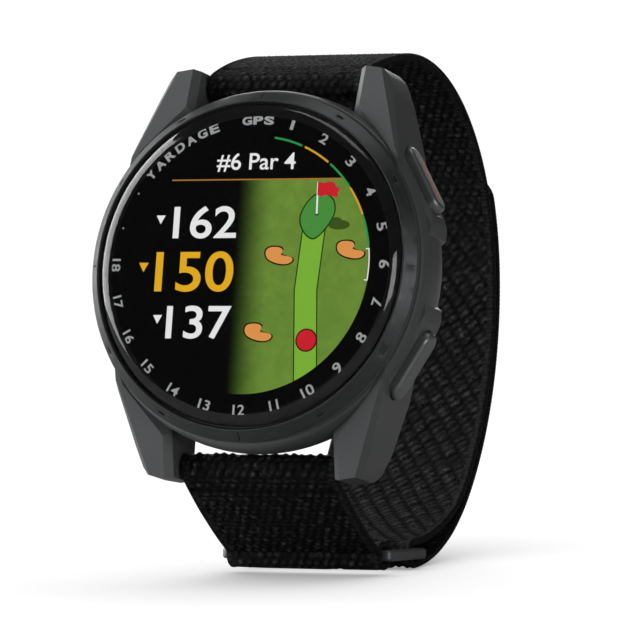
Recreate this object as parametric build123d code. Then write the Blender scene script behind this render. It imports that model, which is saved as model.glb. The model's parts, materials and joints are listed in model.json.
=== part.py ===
from build123d import *
import os
from math import atan2, cos, degrees, pi, radians, sin

# A round golf GPS watch on a closed nylon strap. Sizes in millimetres.
# The head is drawn in its dial frame: X to 3 o'clock, Y to 12 o'clock, Z out of the glass,
# with Z = 0 just under the glass. The strap is drawn as a side view in Y (depth) and Z (height)
# about the middle of the dial. The whole watch is then set down with its lowest point at Z = 0.

# ---- head: the glass sets the size, and the walls round it give the rest ----
LEAN = 12.0             # the dial leans back this many degrees from upright
FIT = 0.05              # radial clearance of pieces that seat in each other
GLASS_R = 19.0
GLASS_T = 1.2
GLASS_TOP = 0.8
GLASS_ROUND = 1.7       # width of the glass's rounded edge
GLUE_T = 0.15           # adhesive under the rim of the glass
NECK_WALL = 1.85        # wall of the neck that carries the glass
BEZEL_W = 1.6
LIP_IN = 0.3            # the bezel's top lip stands this far out of the neck
LIP_W = 0.15
BEZEL_SEAT = 1.25       # height of the neck above the bezel's seat
RIM_W = 0.75            # how far the flank stands out of the bezel

GLASS_UNDER = GLASS_TOP - GLASS_T
SEAT_Z = GLASS_UNDER - GLUE_T
SHOULDER_Z = SEAT_Z - BEZEL_SEAT
NECK_R = GLASS_R + FIT
CAVITY_R = NECK_R - NECK_WALL
BEZEL_R = NECK_R + BEZEL_W
BEZEL_LIP_R = NECK_R + LIP_IN
CASE_R = BEZEL_R + RIM_W

MARKS = 12              # engraved marks round the bezel, a line at every third
MARK_DEEP = 0.15

# ---- pieces inside, stacked down from the glass ----
PANEL_GAP = 0.1
PANEL_T = 1.0
PANEL_ROOM = 0.6        # between the panel and the case's bore
CHASSIS_ROOM = 0.2
CHASSIS_WALL = 1.1
BOARD_DROP = 1.4        # from the panel down to the board
BOARD_T = 0.8
CAN_T = 1.0
CHIP_T = 0.8
CELL_DROP = 1.3         # from the board down to the battery
CELL_W, CELL_H, CELL_T = 20.0, 20.0, 3.6
CELL_CLEAR = 0.3
MOTOR_R, MOTOR_T = 3.2, 2.6
REAR_ROOM = 2.3         # from the battery to the case's rear rim

PANEL_R = CAVITY_R - PANEL_ROOM
PANEL_UNDER = GLASS_UNDER - PANEL_GAP - PANEL_T
CHASSIS_R = CAVITY_R - CHASSIS_ROOM
BOARD_Z = PANEL_UNDER - BOARD_DROP
BOARD_UNDER = BOARD_Z - BOARD_T
CELL_Z = BOARD_UNDER - CELL_DROP
CASE_BACK = REAR_ROOM + CELL_T - CELL_Z
FLEX_Y = -(CHASSIS_R - 3.15)

# ---- rear cover ----
COVER_SEAT = 0.5        # depth of the seat that the cover lies in
COVER_LEDGE = 1.1       # width of that seat
COVER_T = 0.9
PLUG_ROOM = 0.6         # the seal fills this gap round the cover's plug
WINDOW_R = 8.4
WINDOW_RISE = 0.55      # how far the window stands out of the cover
BOSS_IN = 2.2           # the screws stand this far inside the bore
BOSS_R = 1.5
BOSS_H = 3.6
BOSS_FOOT = 1.5
SCREW_HEAD_R = 1.0
SCREW_SHANK = 0.55
SOCKET_W, SOCKET_H = 6.5, 3.0
SOCKET_GAP = 0.9        # between the sensor window and the charging socket
PIN_STEP = 1.3

COVER_R = CAVITY_R + COVER_LEDGE
COVER_IN = COVER_SEAT - CASE_BACK
COVER_OUT = COVER_IN - COVER_T
SCREW_R = CAVITY_R - BOSS_IN
BOSS_TOP = BOSS_FOOT + BOSS_H - CASE_BACK
SOCKET_Y = -(WINDOW_R + SOCKET_GAP + SOCKET_H / 2)

# ---- buttons ----
BUTTON_ANGLES = {"upper": 60.0, "lower": 120.0}
BUTTON_Z = -6.0
CAP_L, CAP_W = 8.8, 3.0
CAP_PROUD = 1.05        # how far a cap stands out of the flank
CAP_T = 1.6
CAP_CLEAR = 0.15
TRAVEL = 0.45
GUARD_IN = 0.05         # the shoulder's flat face lies just inside the flank's widest radius
STEM_R = 0.95
STEM_IN = 1.0           # the stem reaches this far into the bore
SWITCH_L = 2.1
CLIP_T = 0.4

CAP_OUT = CASE_R + CAP_PROUD
GUARD_FACE = CASE_R - GUARD_IN
STEM_END = CAVITY_R - STEM_IN
SWITCH_FRONT = STEM_END - 0.9
SWITCH_BACK = SWITCH_FRONT - SWITCH_L
SEAL_X = CAVITY_R + 1.6
SEAL_T = 0.5
CLIP_X = CAVITY_R - 0.7

# ---- lugs and spring bars ----
STRAP_W = 20.0
STRAP_ROOM = 0.25       # between the strap and each lug
BAR_OUT = 1.4           # spring bar axis beyond the flank
BAR_UP = 2.6            # spring bar axis above the rear rim
LUG_END = 1.6           # lug beyond the spring bar axis
TIP_R = 0.45
TIP_IN_LUG = 0.95
TUBE_R = 0.9
TUBE_BORE = 0.6
RELEASE = 1.3           # travel of the quick-release tip
LEVER_IN = 2.8          # release lever from the edge of the strap
LEVER_R = 0.42
SPRING_START = 1.5

LUG_GAP = STRAP_W + 2 * STRAP_ROOM
BAR_REACH = CASE_R + BAR_OUT
BAR_DEPTH = CASE_BACK - BAR_UP
LUG_TIP = BAR_REACH + LUG_END
LEVER_X = STRAP_W / 2 - LEVER_IN

# ---- strap, in the side view ----
STRAP_T = 1.0
LAYER_GAP = 0.3         # between the two layers at the back
LOOP_WALL = 1.1         # the strap's loop round a spring bar
LOOP_DEPTH = 41.74      # from the upper spring bar to the strap's rearmost face
BACK_Z = -2.9           # height at which the strap is rearmost
CREST_OUT, CREST_UP = 13.44, 3.88    # top of the strap from the upper spring bar
FLOOR_DROP = 13.37      # lowest face of the strap under the lower spring bar
TAB_TURN = 25.0
HINGE_GAP = 0.1
LOOP_R = TUBE_R + LOOP_WALL

# ---- ring that the strap folds through ----
RING_L = 11.5
RING_SIDE = 0.75
RING_ROOM = 0.25        # between the strap and each side of the ring
RING_T = 1.3
RING_BAR = 1.9
RING_TILT = -3.3
FOLD_CLEAR = 0.2
FOLD_OUT = 21.82        # from the lower spring bar to the strap's fold
TUNNEL_WALL = 0.5

CENTRE_MIN = (Align.CENTER, Align.CENTER, Align.MIN)
HEAD = Rot(90 - LEAN, 0, 0)
parts = {}


# ---------------------------------------------------------------- helpers
def disc(radius, bottom, top, x=0.0, y=0.0):
    return Pos(x, y, bottom) * Cylinder(radius, top - bottom, align=CENTRE_MIN)


def tube(outer, inner, bottom, top, x=0.0, y=0.0):
    return disc(outer, bottom, top, x, y) - disc(inner, bottom - 1, top + 1, x, y)


def block(width, height, bottom, top, x=0.0, y=0.0, corner=0.0):
    outline = RectangleRounded(width, height, corner) if corner else Rectangle(width, height)
    return Pos(x, y, bottom) * extrude(outline, amount=top - bottom)


def turned(edges):
    """A closed section of radius and height, turned about the dial's axis."""
    return revolve(make_face([Plane.XZ * edge for edge in edges]), Axis.Z)


def rod(radius, start, end, inner=0.0):
    """A rod along X in its own frame."""
    along = Plane(origin=(start, 0, 0), x_dir=(0, 1, 0), z_dir=(1, 0, 0))
    section = Circle(radius) - Circle(inner) if inner else Circle(radius)
    return extrude(along * section, amount=end - start)


def beyond(point, normal):
    """A big block on the far side of a plane, for cutting a facet."""
    return Plane(origin=point, z_dir=normal) * Box(90, 90, 40, align=CENTRE_MIN)


def unit(*values):
    return Vector(*values).normalized()


# ---------------------------------------------------------------- glass, bezel, display
def make_glass():
    edge = GLASS_UNDER + GLASS_T / 8
    flat = GLASS_R - GLASS_ROUND
    bulge = (GLASS_R - GLASS_ROUND / 3, GLASS_TOP - GLASS_T / 3)
    section = [
        *Polyline((0, GLASS_UNDER), (GLASS_R, GLASS_UNDER), (GLASS_R, edge)).edges(),
        ThreePointArc((GLASS_R, edge), bulge, (flat, GLASS_TOP)),
        *Polyline((flat, GLASS_TOP), (0, GLASS_TOP), (0, GLASS_UNDER)).edges(),
    ]
    parts["lens"] = turned(section)
    parts["lens_adhesive"] = tube(GLASS_R - 0.1, CAVITY_R + 0.3, SEAT_Z, GLASS_UNDER)


def make_bezel():
    inner = NECK_R + FIT
    lip_out = BEZEL_LIP_R + LIP_W
    foot = SHOULDER_Z + 0.55
    ring = turned(Polyline(
        (inner, SHOULDER_Z), (inner, SEAT_Z), (BEZEL_LIP_R, 0.0), (lip_out, 0.0),
        (BEZEL_R, foot), (BEZEL_R, foot - 0.15), (BEZEL_R - 0.2, SHOULDER_Z), close=True,
    ).edges())
    slope = unit(-foot, 0, BEZEL_R - lip_out)
    face = Plane(origin=((BEZEL_R + lip_out) / 2, 0, foot / 2), x_dir=(0, 1, 0), z_dir=slope)
    for step in range(MARKS):
        outline = Rectangle(0.12, 1.15) if step % 3 == 0 else RectangleRounded(0.9, 0.34, 0.12)
        mark = extrude(face * outline, amount=MARK_DEEP, both=True)
        ring -= Rot(0, 0, step * 360 / MARKS) * mark
    parts["bezel_ring"] = ring


def make_display():
    panel_top = GLASS_UNDER - PANEL_GAP
    parts["display_adhesive"] = disc(PANEL_R - 0.6, panel_top, GLASS_UNDER)
    parts["display_panel"] = disc(PANEL_R, PANEL_UNDER, panel_top)
    inner = CHASSIS_R - CHASSIS_WALL
    chassis = tube(CHASSIS_R, inner, BOARD_UNDER - 0.4, PANEL_UNDER)
    chassis += tube(inner + 0.1, inner - 1.0, BOARD_Z, BOARD_Z + 0.5)
    parts["chassis"] = chassis
    antenna = tube(CAVITY_R - FIT, CHASSIS_R, BOARD_Z - 0.7, PANEL_UNDER - 0.1)
    parts["antenna_band"] = antenna - beyond((0, 0, 0), (1, 0, 0))
    foot = block(7, 3.0, BOARD_Z, BOARD_Z + 0.15, y=FLEX_Y + 1.45)
    rise = block(7, 0.15, BOARD_Z, PANEL_UNDER, y=FLEX_Y)
    parts["display_flex"] = foot + rise


# ---------------------------------------------------------------- case
def case_shell():
    rim = SHOULDER_Z - 0.55
    waist = BAR_UP - 0.1 - CASE_BACK
    section = [
        *Polyline(
            (CAVITY_R, COVER_IN), (CAVITY_R, SEAT_Z), (NECK_R, SEAT_Z),
            (NECK_R, SHOULDER_Z), (BEZEL_R - 0.25, SHOULDER_Z), (BEZEL_R - 0.15, rim + 0.3),
            (BEZEL_R + 0.2, rim + 0.3), (BEZEL_R + 0.4, rim),
        ).edges(),
        ThreePointArc((BEZEL_R + 0.4, rim), (CASE_R, (rim + waist) / 2), (CASE_R - 0.6, waist)),
        ThreePointArc(
            (CASE_R - 0.6, waist), (CASE_R - 1.3, waist - 1.4), (CASE_R - 2.5, -CASE_BACK)
        ),
        *Polyline(
            (CASE_R - 2.5, -CASE_BACK), (COVER_R + FIT, -CASE_BACK),
            (COVER_R + FIT, COVER_IN), (CAVITY_R, COVER_IN),
        ).edges(),
    ]
    return turned(section)


def lug():
    """The upper right lug, faceted on its front."""
    inner = LUG_GAP / 2
    root = CASE_R - 12.4
    front_z = SHOULDER_Z - 0.2
    outline = Polyline(
        (inner, root), (inner, LUG_TIP - 0.2), (inner + 0.8, LUG_TIP),
        (inner + 3.05, LUG_TIP - 0.35), (inner + 3.85, LUG_TIP - 1.3),
        (inner + 4.75, BAR_REACH - 2.2), (inner + 6.55, BAR_REACH - 8.4),
        (inner + 7.15, BAR_REACH - 12.3), (inner + 6.25, root), close=True,
    )
    side = Polyline(
        (root - 1, front_z), (LUG_TIP + 1, front_z), (LUG_TIP + 1, 2.5 - CASE_BACK),
        (LUG_TIP - 0.9, 0.6 - CASE_BACK), (BAR_REACH - 2.3, -CASE_BACK),
        (root - 1, -CASE_BACK), close=True,
    )
    body = extrude(make_face(outline), amount=CASE_BACK + 1, dir=(0, 0, -1))
    body &= extrude(make_face(Plane.YZ * side), amount=STRAP_W, dir=(1, 0, 0))
    front = unit(0, sin(radians(15)), cos(radians(15)))
    crown = Vector(inner, BAR_REACH - 6.8, SHOULDER_Z - 0.75)
    body -= beyond(crown, front)
    body -= beyond(crown + Vector(0.85, 0, 0), front + Vector(-1, 0, 0))
    body -= beyond(crown + Vector(4.75, 4.6, -2.0), front + Vector(0.95, 0.3, -0.1))
    body -= beyond(crown + Vector(1.25, 3.1, -0.85), front + Vector(-0.62, -0.53, 0))
    return body


def guard(angle):
    """Flat shoulder round a button, in the place that the button's angle gives."""
    half = CAP_L / 2
    outline = Polyline(
        (CAVITY_R - 1, half + 3.4), (GUARD_FACE - 1.1, half + 2.6), (GUARD_FACE, half + 0.8),
        (GUARD_FACE, -half - 0.8), (GUARD_FACE - 1.1, -half - 2.6), (CAVITY_R - 1, -half - 3.4),
        close=True,
    )
    height = CAP_W + 2.0
    shoulder = extrude(make_face(outline), amount=height, dir=(0, 0, 1))
    shoulder = Pos(0, 0, BUTTON_Z - height / 2) * shoulder
    outer = shoulder.faces().sort_by(Axis.X)[-1]
    return Rot(0, 0, 90 - angle) * chamfer(outer.edges(), 0.45)


def button_pocket(angle):
    """Slot for the cap and the bore for its stem."""
    floor = CAP_OUT - CAP_T - TRAVEL - CAP_CLEAR
    plane = Plane(origin=(floor, 0, BUTTON_Z), x_dir=(0, 1, 0), z_dir=(1, 0, 0))
    slot = extrude(plane * SlotOverall(CAP_L + 2 * CAP_CLEAR, CAP_W + 2 * CAP_CLEAR), amount=4)
    bore = Pos(0, 0, BUTTON_Z) * rod(STEM_R + FIT, STEM_END - 1, floor + 1)
    return Rot(0, 0, 90 - angle) * (slot + bore)


def screw_places():
    return [(SCREW_R * cos(radians(a)), SCREW_R * sin(radians(a)), a) for a in (45, 135, 225, 315)]


def make_case():
    body = case_shell()
    corner = lug()
    for piece in (corner, mirror(corner, Plane.YZ)):
        body += piece
        body += mirror(piece, Plane.XZ)
    for angle in BUTTON_ANGLES.values():
        body += guard(angle)
    body -= disc(CAVITY_R, -CASE_BACK - 2, 1)
    body -= disc(COVER_R + FIT, -CASE_BACK - 2, COVER_IN)
    for angle in BUTTON_ANGLES.values():
        body -= button_pocket(angle)
    for side in (1, -1):
        place = Pos(0, side * BAR_REACH, -BAR_DEPTH)
        body -= place * rod(LOOP_R + 0.4, -LUG_GAP / 2, LUG_GAP / 2)
        hole = LUG_GAP / 2 + TIP_IN_LUG + 0.15
        body -= place * rod(TIP_R + FIT, -hole, hole)
    foot = BOSS_FOOT - CASE_BACK
    for x, y, turn in screw_places():
        boss = disc(BOSS_R, foot, BOSS_TOP, x, y)
        web = block(2 * BOSS_IN - 1.2, 1.6, foot, BOSS_TOP, x=CAVITY_R - BOSS_IN / 2)
        body += boss + (Rot(0, 0, turn) * web - disc(SCREW_R, -CASE_BACK, 0))
        body -= disc(SCREW_SHANK, -CASE_BACK, BOSS_TOP - 0.4, x, y)
    parts["case_body"] = body


# ---------------------------------------------------------------- electronics
def make_board():
    parts["main_board"] = disc(CHASSIS_R - CHASSIS_WALL - FIT, BOARD_UNDER, BOARD_Z)
    parts["shield_can"] = block(13, 9, BOARD_UNDER - CAN_T, BOARD_UNDER, x=-3, y=3, corner=0.6)
    chips = [(6.5, 6.0, 3.2, 3.2), (7.2, 0.5, 4.0, 3.0), (-6.0, -6.0, 4.5, 4.5), (1.5, -6.5, 3.0, 5.0)]
    chips = [block(w, h, BOARD_UNDER - CHIP_T, BOARD_UNDER, x=x, y=y) for x, y, w, h in chips]
    parts["board_chips"] = Compound(children=chips)
    parts["display_socket"] = block(7, 1.8, BOARD_Z, BOARD_Z + 0.7, y=FLEX_Y + 3.95)


def make_power():
    motor_y = CAVITY_R - MOTOR_R - 0.5
    cell_y = motor_y - MOTOR_R - CELL_CLEAR - CELL_H / 2
    cell = block(CELL_W, CELL_H, CELL_Z - CELL_T, CELL_Z, y=cell_y, corner=3.0)
    cell &= disc(CAVITY_R - CELL_CLEAR, CELL_Z - CELL_T, CELL_Z)
    for x, y, _ in screw_places():
        cell -= disc(BOSS_R + CELL_CLEAR, CELL_Z - CELL_T, CELL_Z, x, y)
    parts["battery"] = cell
    foam_top = BOARD_UNDER - CAN_T
    parts["battery_foam"] = block(CELL_W - 6, CELL_H - 6, CELL_Z, foam_top, y=cell_y)
    parts["vibration_motor"] = disc(MOTOR_R, CELL_Z - MOTOR_T, CELL_Z, y=motor_y)
    for name, angle in BUTTON_ANGLES.items():
        body = block(
            SWITCH_L, 3.5, BUTTON_Z - 1.4, BOARD_UNDER, x=(SWITCH_FRONT + SWITCH_BACK) / 2
        )
        nub = Pos(0, 0, BUTTON_Z) * rod(0.6, SWITCH_FRONT, STEM_END - TRAVEL - FIT)
        parts[name + "_button_switch"] = Rot(0, 0, 90 - angle) * (body + nub)


def make_rear():
    plug = CAVITY_R - PLUG_ROOM
    window_seat = COVER_OUT + 0.5
    head_r = SCREW_HEAD_R + FIT
    cover = disc(COVER_R, COVER_OUT, COVER_IN)
    cover = chamfer(cover.faces().sort_by(Axis.Z)[0].edges(), 0.25)
    cover += tube(plug, plug - 0.7, COVER_IN, COVER_IN + 0.9)
    cover += tube(WINDOW_R + 0.4, WINDOW_R - 0.4, COVER_IN, COVER_IN + 0.5)
    cover -= disc(WINDOW_R - 0.4, COVER_OUT - 1, COVER_IN + 1)
    cover -= disc(WINDOW_R + FIT, COVER_OUT - 1, window_seat)
    cover -= block(SOCKET_W, SOCKET_H, COVER_OUT - 1, COVER_IN + 1, y=SOCKET_Y)
    screws = []
    for x, y, _ in screw_places():
        cover += disc(BOSS_R - FIT, COVER_IN, BOSS_FOOT - CASE_BACK - 0.1, x, y)
        cover -= disc(SCREW_SHANK + FIT, COVER_OUT - 1, COVER_IN + 2, x, y)
        cover -= disc(head_r, COVER_OUT - 1, window_seat + FIT, x, y)
        screw = disc(SCREW_HEAD_R, COVER_OUT + FIT, window_seat + FIT, x, y)
        screw += disc(SCREW_SHANK, window_seat, BOSS_TOP - 0.5, x, y)
        drive = Pos(x, y, COVER_OUT) * extrude(RegularPolygon(SCREW_HEAD_R / 2, 6), amount=0.35)
        screws.append(screw - drive)
    parts["rear_cover"] = cover
    parts["case_screws"] = Compound(children=screws)
    parts["rear_cover_seal"] = tube(CAVITY_R, plug, COVER_IN, COVER_IN + 0.7)
    dome_r = (WINDOW_R**2 + WINDOW_RISE**2) / (2 * WINDOW_RISE)
    dome = Pos(0, 0, COVER_OUT - WINDOW_RISE + dome_r) * Sphere(dome_r)
    parts["sensor_window"] = disc(WINDOW_R, COVER_OUT - 1, window_seat) & dome
    make_sensor()
    make_socket()


def make_sensor():
    bottom = COVER_IN + 0.5
    parts["sensor_board"] = disc(WINDOW_R, bottom, bottom + 0.4)
    diodes = [disc(0.9, bottom - 0.4, bottom)]
    for turn in range(0, 360, 90):
        diodes.append(Rot(0, 0, turn) * block(1.6, 1.6, bottom - 0.4, bottom, x=WINDOW_R / 2))
    parts["sensor_diodes"] = Compound(children=diodes)


def make_socket():
    top = COVER_IN + 1.1
    well = block(SOCKET_W, SOCKET_H, COVER_OUT + 0.1, top, y=SOCKET_Y)
    well -= block(SOCKET_W - 1.0, SOCKET_H - 1.0, COVER_OUT - 1, COVER_IN + 0.1, y=SOCKET_Y)
    places = [PIN_STEP * (pin - 1.5) for pin in range(4)]
    pins = [disc(0.32, COVER_OUT + 0.35, top, x, SOCKET_Y) for x in places]
    for pin in pins:
        well -= pin
    parts["charge_socket"] = well
    parts["charge_pins"] = Compound(children=pins)


def make_button(name, angle):
    place = Rot(0, 0, 90 - angle) * Pos(0, 0, BUTTON_Z)
    back = CAP_OUT - CAP_T
    cap = extrude(Plane(origin=(back, 0, 0), x_dir=(0, 1, 0), z_dir=(1, 0, 0))
                  * SlotOverall(CAP_L, CAP_W), amount=CAP_T)
    cap = fillet(cap.faces().sort_by(Axis.X)[-1].edges(), 0.55)
    if name == "upper":
        line = SlotOverall(CAP_L - 3.2, 0.5)
        inlay = extrude(Plane(origin=(CAP_OUT - 0.3, 0, -0.35), x_dir=(0, 1, 0), z_dir=(1, 0, 0))
                        * line, amount=0.3)
        cap -= inlay
        parts["upper_button_accent"] = place * inlay
    seal_bore, clip_bore = STEM_R - 0.25, STEM_R - 0.2
    stem = rod(STEM_R, STEM_END, back + 0.5)
    stem -= rod(STEM_R + 1, SEAL_X, SEAL_X + SEAL_T, inner=seal_bore)
    stem -= rod(STEM_R + 1, CLIP_X, CLIP_X + CLIP_T, inner=clip_bore)
    parts[name + "_button"] = place * (cap + stem)
    seal = rod(STEM_R + 0.03, SEAL_X, SEAL_X + SEAL_T, inner=seal_bore)
    parts[name + "_button_seal"] = place * seal
    clip = rod(STEM_R + 0.75, CLIP_X, CLIP_X + CLIP_T, inner=clip_bore)
    mouth = Pos(CLIP_X, 0, -2 * STEM_R) * Box(4 * CLIP_T, STEM_R, 4 * STEM_R - 0.9)
    parts[name + "_button_clip"] = place * (clip - mouth)


# ---------------------------------------------------------------- spring bars
def bar_place(side):
    """Where a spring bar stands. Its own Z then points away from the wrist."""
    return HEAD * Pos(0, side * BAR_REACH, -BAR_DEPTH)


def make_bar(name, side):
    place = bar_place(side)
    end = STRAP_W / 2 - 0.4
    tip_end = LUG_GAP / 2 + TIP_IN_LUG
    bore = rod(TUBE_BORE, SPRING_START, end - 0.4) + rod(TIP_R + FIT, SPRING_START, end + 1)
    body = rod(TUBE_R, -end, end) - bore
    body += rod(TIP_R, -tip_end, -end)
    slot_l = RELEASE + 2 * LEVER_R + 0.16
    body -= Pos(LEVER_X - RELEASE / 2, 0, -TUBE_R) * Box(slot_l, 2 * LEVER_R + 0.16, 1.4)
    parts[name + "_bar_tube"] = place * body
    piston = rod(TUBE_BORE - FIT, LEVER_X - 1.0, end - 0.5) + rod(TIP_R, end - 1, tip_end)
    lever = Rot(180, 0, 0) * Cylinder(LEVER_R, LOOP_R + 0.5, align=CENTRE_MIN)
    parts[name + "_bar_plunger"] = place * (piston + Pos(LEVER_X, 0, 0) * lever)
    length = LEVER_X - 1.0 - SPRING_START
    coil = Helix(pitch=length / 6, height=length - 0.2, radius=TUBE_BORE - 0.2)
    wire = Plane(origin=coil @ 0, z_dir=coil % 0) * Circle(0.09)
    spring = sweep(wire, path=coil, is_frenet=True)
    parts[name + "_bar_spring"] = place * Pos(SPRING_START + 0.1, 0, 0) * Rot(0, 90, 0) * spring
    return place.position


def bar_notch(side):
    """Opening in a strap's loop for the release lever."""
    depth = LOOP_R + 2
    cut = Box(RELEASE + 2 * LEVER_R + 1.06, 2 * LEVER_R + 0.86, depth)
    cut = Pos(LEVER_X - RELEASE / 2, 0, -depth / 2) * cut
    return bar_place(side) * cut


# ---------------------------------------------------------------- strap
def biarc(start, heading, end, end_heading, share):
    """Two tangent arcs from start to end, the first with this share of the whole turn."""
    first, last = radians(heading), radians(end_heading)
    middle = first + share * (last - first)
    a, b = sin(middle) - sin(first), sin(last) - sin(middle)
    c, d = cos(first) - cos(middle), cos(middle) - cos(last)
    dy, dz = end[0] - start[0], end[1] - start[1]
    scale = a * d - b * c
    bends = ((dy * d - dz * b) / scale, (a * dz - c * dy) / scale)
    turns = (degrees(middle - first), degrees(last - middle))
    return [(abs(bend), turn) for bend, turn in zip(bends, turns)]


def run(start, heading, arcs, offset=0.0):
    """Edges of a chain of tangent arcs, moved to its left by offset, and where the chain ends."""
    y, z, angle = start[0], start[1], radians(heading)
    edges = []
    for bend, turn in arcs:
        bend = bend if turn > 0 else -bend
        centre = (y - bend * sin(angle), z + bend * cos(angle))
        moved = bend - offset

        def at(share, reach=moved, mid=centre, first=angle, sweep_by=radians(turn)):
            now = first + share * sweep_by
            return (mid[0] + reach * sin(now), mid[1] - reach * cos(now))

        edges.append(ThreePointArc(at(0), at(0.5), at(1)))
        y, z = at(1, bend)
        angle += radians(turn)
    return edges, (y, z), degrees(angle)


def band(start, heading, arcs, width=STRAP_W, thickness=STRAP_T, shift=0.0):
    left, _, _ = run(start, heading, arcs, shift + thickness / 2)
    right, _, _ = run(start, heading, arcs, shift - thickness / 2)
    caps = [Line(left[0] @ 0, right[0] @ 0), Line(left[-1] @ 1, right[-1] @ 1)]
    face = make_face([*left, *right, *caps])
    return extrude(Plane.YZ * face, amount=width / 2, both=True)


def side_view(point):
    return (point.Y, point.Z)


def beside(point, heading, distance):
    """A point moved to the left of a heading."""
    angle = radians(heading)
    return (point[0] - distance * sin(angle), point[1] + distance * cos(angle))


def strap_loop(side):
    centre = bar_place(side).position
    along = Pos(0, centre.Y, centre.Z)
    return along * rod(LOOP_R, -STRAP_W / 2, STRAP_W / 2), along * rod(TUBE_R, -STRAP_W, STRAP_W)


UPPER_BAR, LOWER_BAR = side_view(bar_place(1).position), side_view(bar_place(-1).position)
STRAP_BACK = UPPER_BAR[0] + LOOP_DEPTH
CREST_Y, CREST_Z = UPPER_BAR[0] + CREST_OUT, UPPER_BAR[1] + CREST_UP
FLOOR_Z = LOWER_BAR[1] - FLOOR_DROP
FOLD_Y = LOWER_BAR[0] + FOLD_OUT
FOLD_IN = RING_T / 2 + FOLD_CLEAR
FOLD_MID = FOLD_IN + STRAP_T / 2
FOLD_Z = FLOOR_Z + FOLD_IN + STRAP_T
BAR_HALF = (RING_BAR - RING_T) / 2
RING_BAR_Y = (RING_L - RING_BAR) / 2
TILT = Rot(RING_TILT, 0, 0)
RING_CENTRE = Vector(0, FOLD_Y, FOLD_Z) - (TILT * Pos(0, RING_BAR_Y - BAR_HALF, 0)).position
RING = Pos(*RING_CENTRE) * TILT
BACK_MID = (STRAP_BACK - STRAP_T / 2, BACK_Z)
TAIL_START = (FOLD_Y + HINGE_GAP, FOLD_Z - FOLD_MID)
TAIL = biarc(TAIL_START, 0, BACK_MID, 90, 0.49)
INNER_STEP = STRAP_T + LAYER_GAP
CREST_MID = (CREST_Y, CREST_Z - STRAP_T / 2)
INNER_BACK = (BACK_MID[0] - INNER_STEP, BACK_MID[1])
OVER_BACK = biarc(CREST_MID, 0, INNER_BACK, -90, 0.48)
TAB_BEND = OVER_BACK[1][0] + INNER_STEP


def make_upper_strap():
    heading = 17.0
    start = beside(UPPER_BAR, heading, LOOP_R - STRAP_T / 2)
    beside_tail = [(TAIL[1][0] - INNER_STEP, -TAIL[1][1])]
    _, low, low_heading = run(INNER_BACK, -90, beside_tail)
    fold_top = (FOLD_Y, FOLD_Z + FOLD_MID)
    arcs = [
        *biarc(start, heading, CREST_MID, 0, 0.5),
        *OVER_BACK,
        *beside_tail,
        *biarc(low, low_heading, fold_top, -180, 0.5),
        (FOLD_MID, 180),
    ]
    loop, bore = strap_loop(1)
    strap = band(start, heading, arcs)
    strap += loop
    parts["upper_strap"] = strap - bore - bar_notch(1)


def make_tail():
    parts["strap_tail"] = band(TAIL_START, 0, TAIL)
    start = (BACK_MID[0], BACK_MID[1] + HINGE_GAP)
    tab = band(start, 90, [(TAB_BEND, TAB_TURN)])
    parts["strap_tab"] = tab
    _, hook_start, hook_heading = run(start, 90, [(TAB_BEND, 3)])
    hook_t = LAYER_GAP - 0.1
    parts["hook_patch"] = band(
        hook_start, hook_heading, [(TAB_BEND, TAB_TURN - 5)], STRAP_W - 4, hook_t,
        shift=(STRAP_T + hook_t) / 2,
    )


def bar_prism(grow, half_width):
    """One of the ring's bars, grown on all sides, in the bar's own place."""
    section = SlotOverall(RING_BAR + 2 * grow, RING_T + 2 * grow)
    return extrude(Plane.YZ * section, amount=half_width, both=True)


def make_lower_strap():
    heading = -44.0
    start = beside(LOWER_BAR, heading, STRAP_T / 2 - LOOP_R)
    ring_bar = RING * Pos(0, -RING_BAR_Y, 0)
    end = (ring_bar.position.Y - RING_BAR / 2 - 0.35, ring_bar.position.Z + 0.35)
    strap = band(start, heading, [*biarc(start, heading, end, -32, 0.5), (2.6, 28)])
    strap += ring_bar * bar_prism(FOLD_CLEAR + TUNNEL_WALL, STRAP_W / 2)
    strap -= ring_bar * bar_prism(FOLD_CLEAR, STRAP_W)
    loop, bore = strap_loop(-1)
    strap += loop
    parts["lower_strap"] = strap - bore - bar_notch(-1)


def make_ring():
    inner_w = STRAP_W + 2 * RING_ROOM
    outer = RectangleRounded(inner_w + 2 * RING_SIDE, RING_L, 0.7)
    window = Rectangle(inner_w, RING_L - 2 * RING_BAR)
    frame = Pos(0, 0, -RING_T / 2) * extrude(outer - window, amount=RING_T)
    inside = frame.edges().filter_by(Axis.X) + frame.edges().filter_by(Axis.Y)
    frame = fillet(inside, RING_SIDE * 0.45)
    parts["strap_ring"] = RING * frame


# ---------------------------------------------------------------- build and write
make_glass()
make_bezel()
make_display()
make_case()
make_board()
make_power()
make_rear()
for button, clock_angle in BUTTON_ANGLES.items():
    make_button(button, clock_angle)
for node in list(parts):
    parts[node] = HEAD * parts[node]
upper_bar = make_bar("upper", 1)
lower_bar = make_bar("lower", -1)
make_upper_strap()
make_tail()
make_lower_strap()
make_ring()

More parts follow.
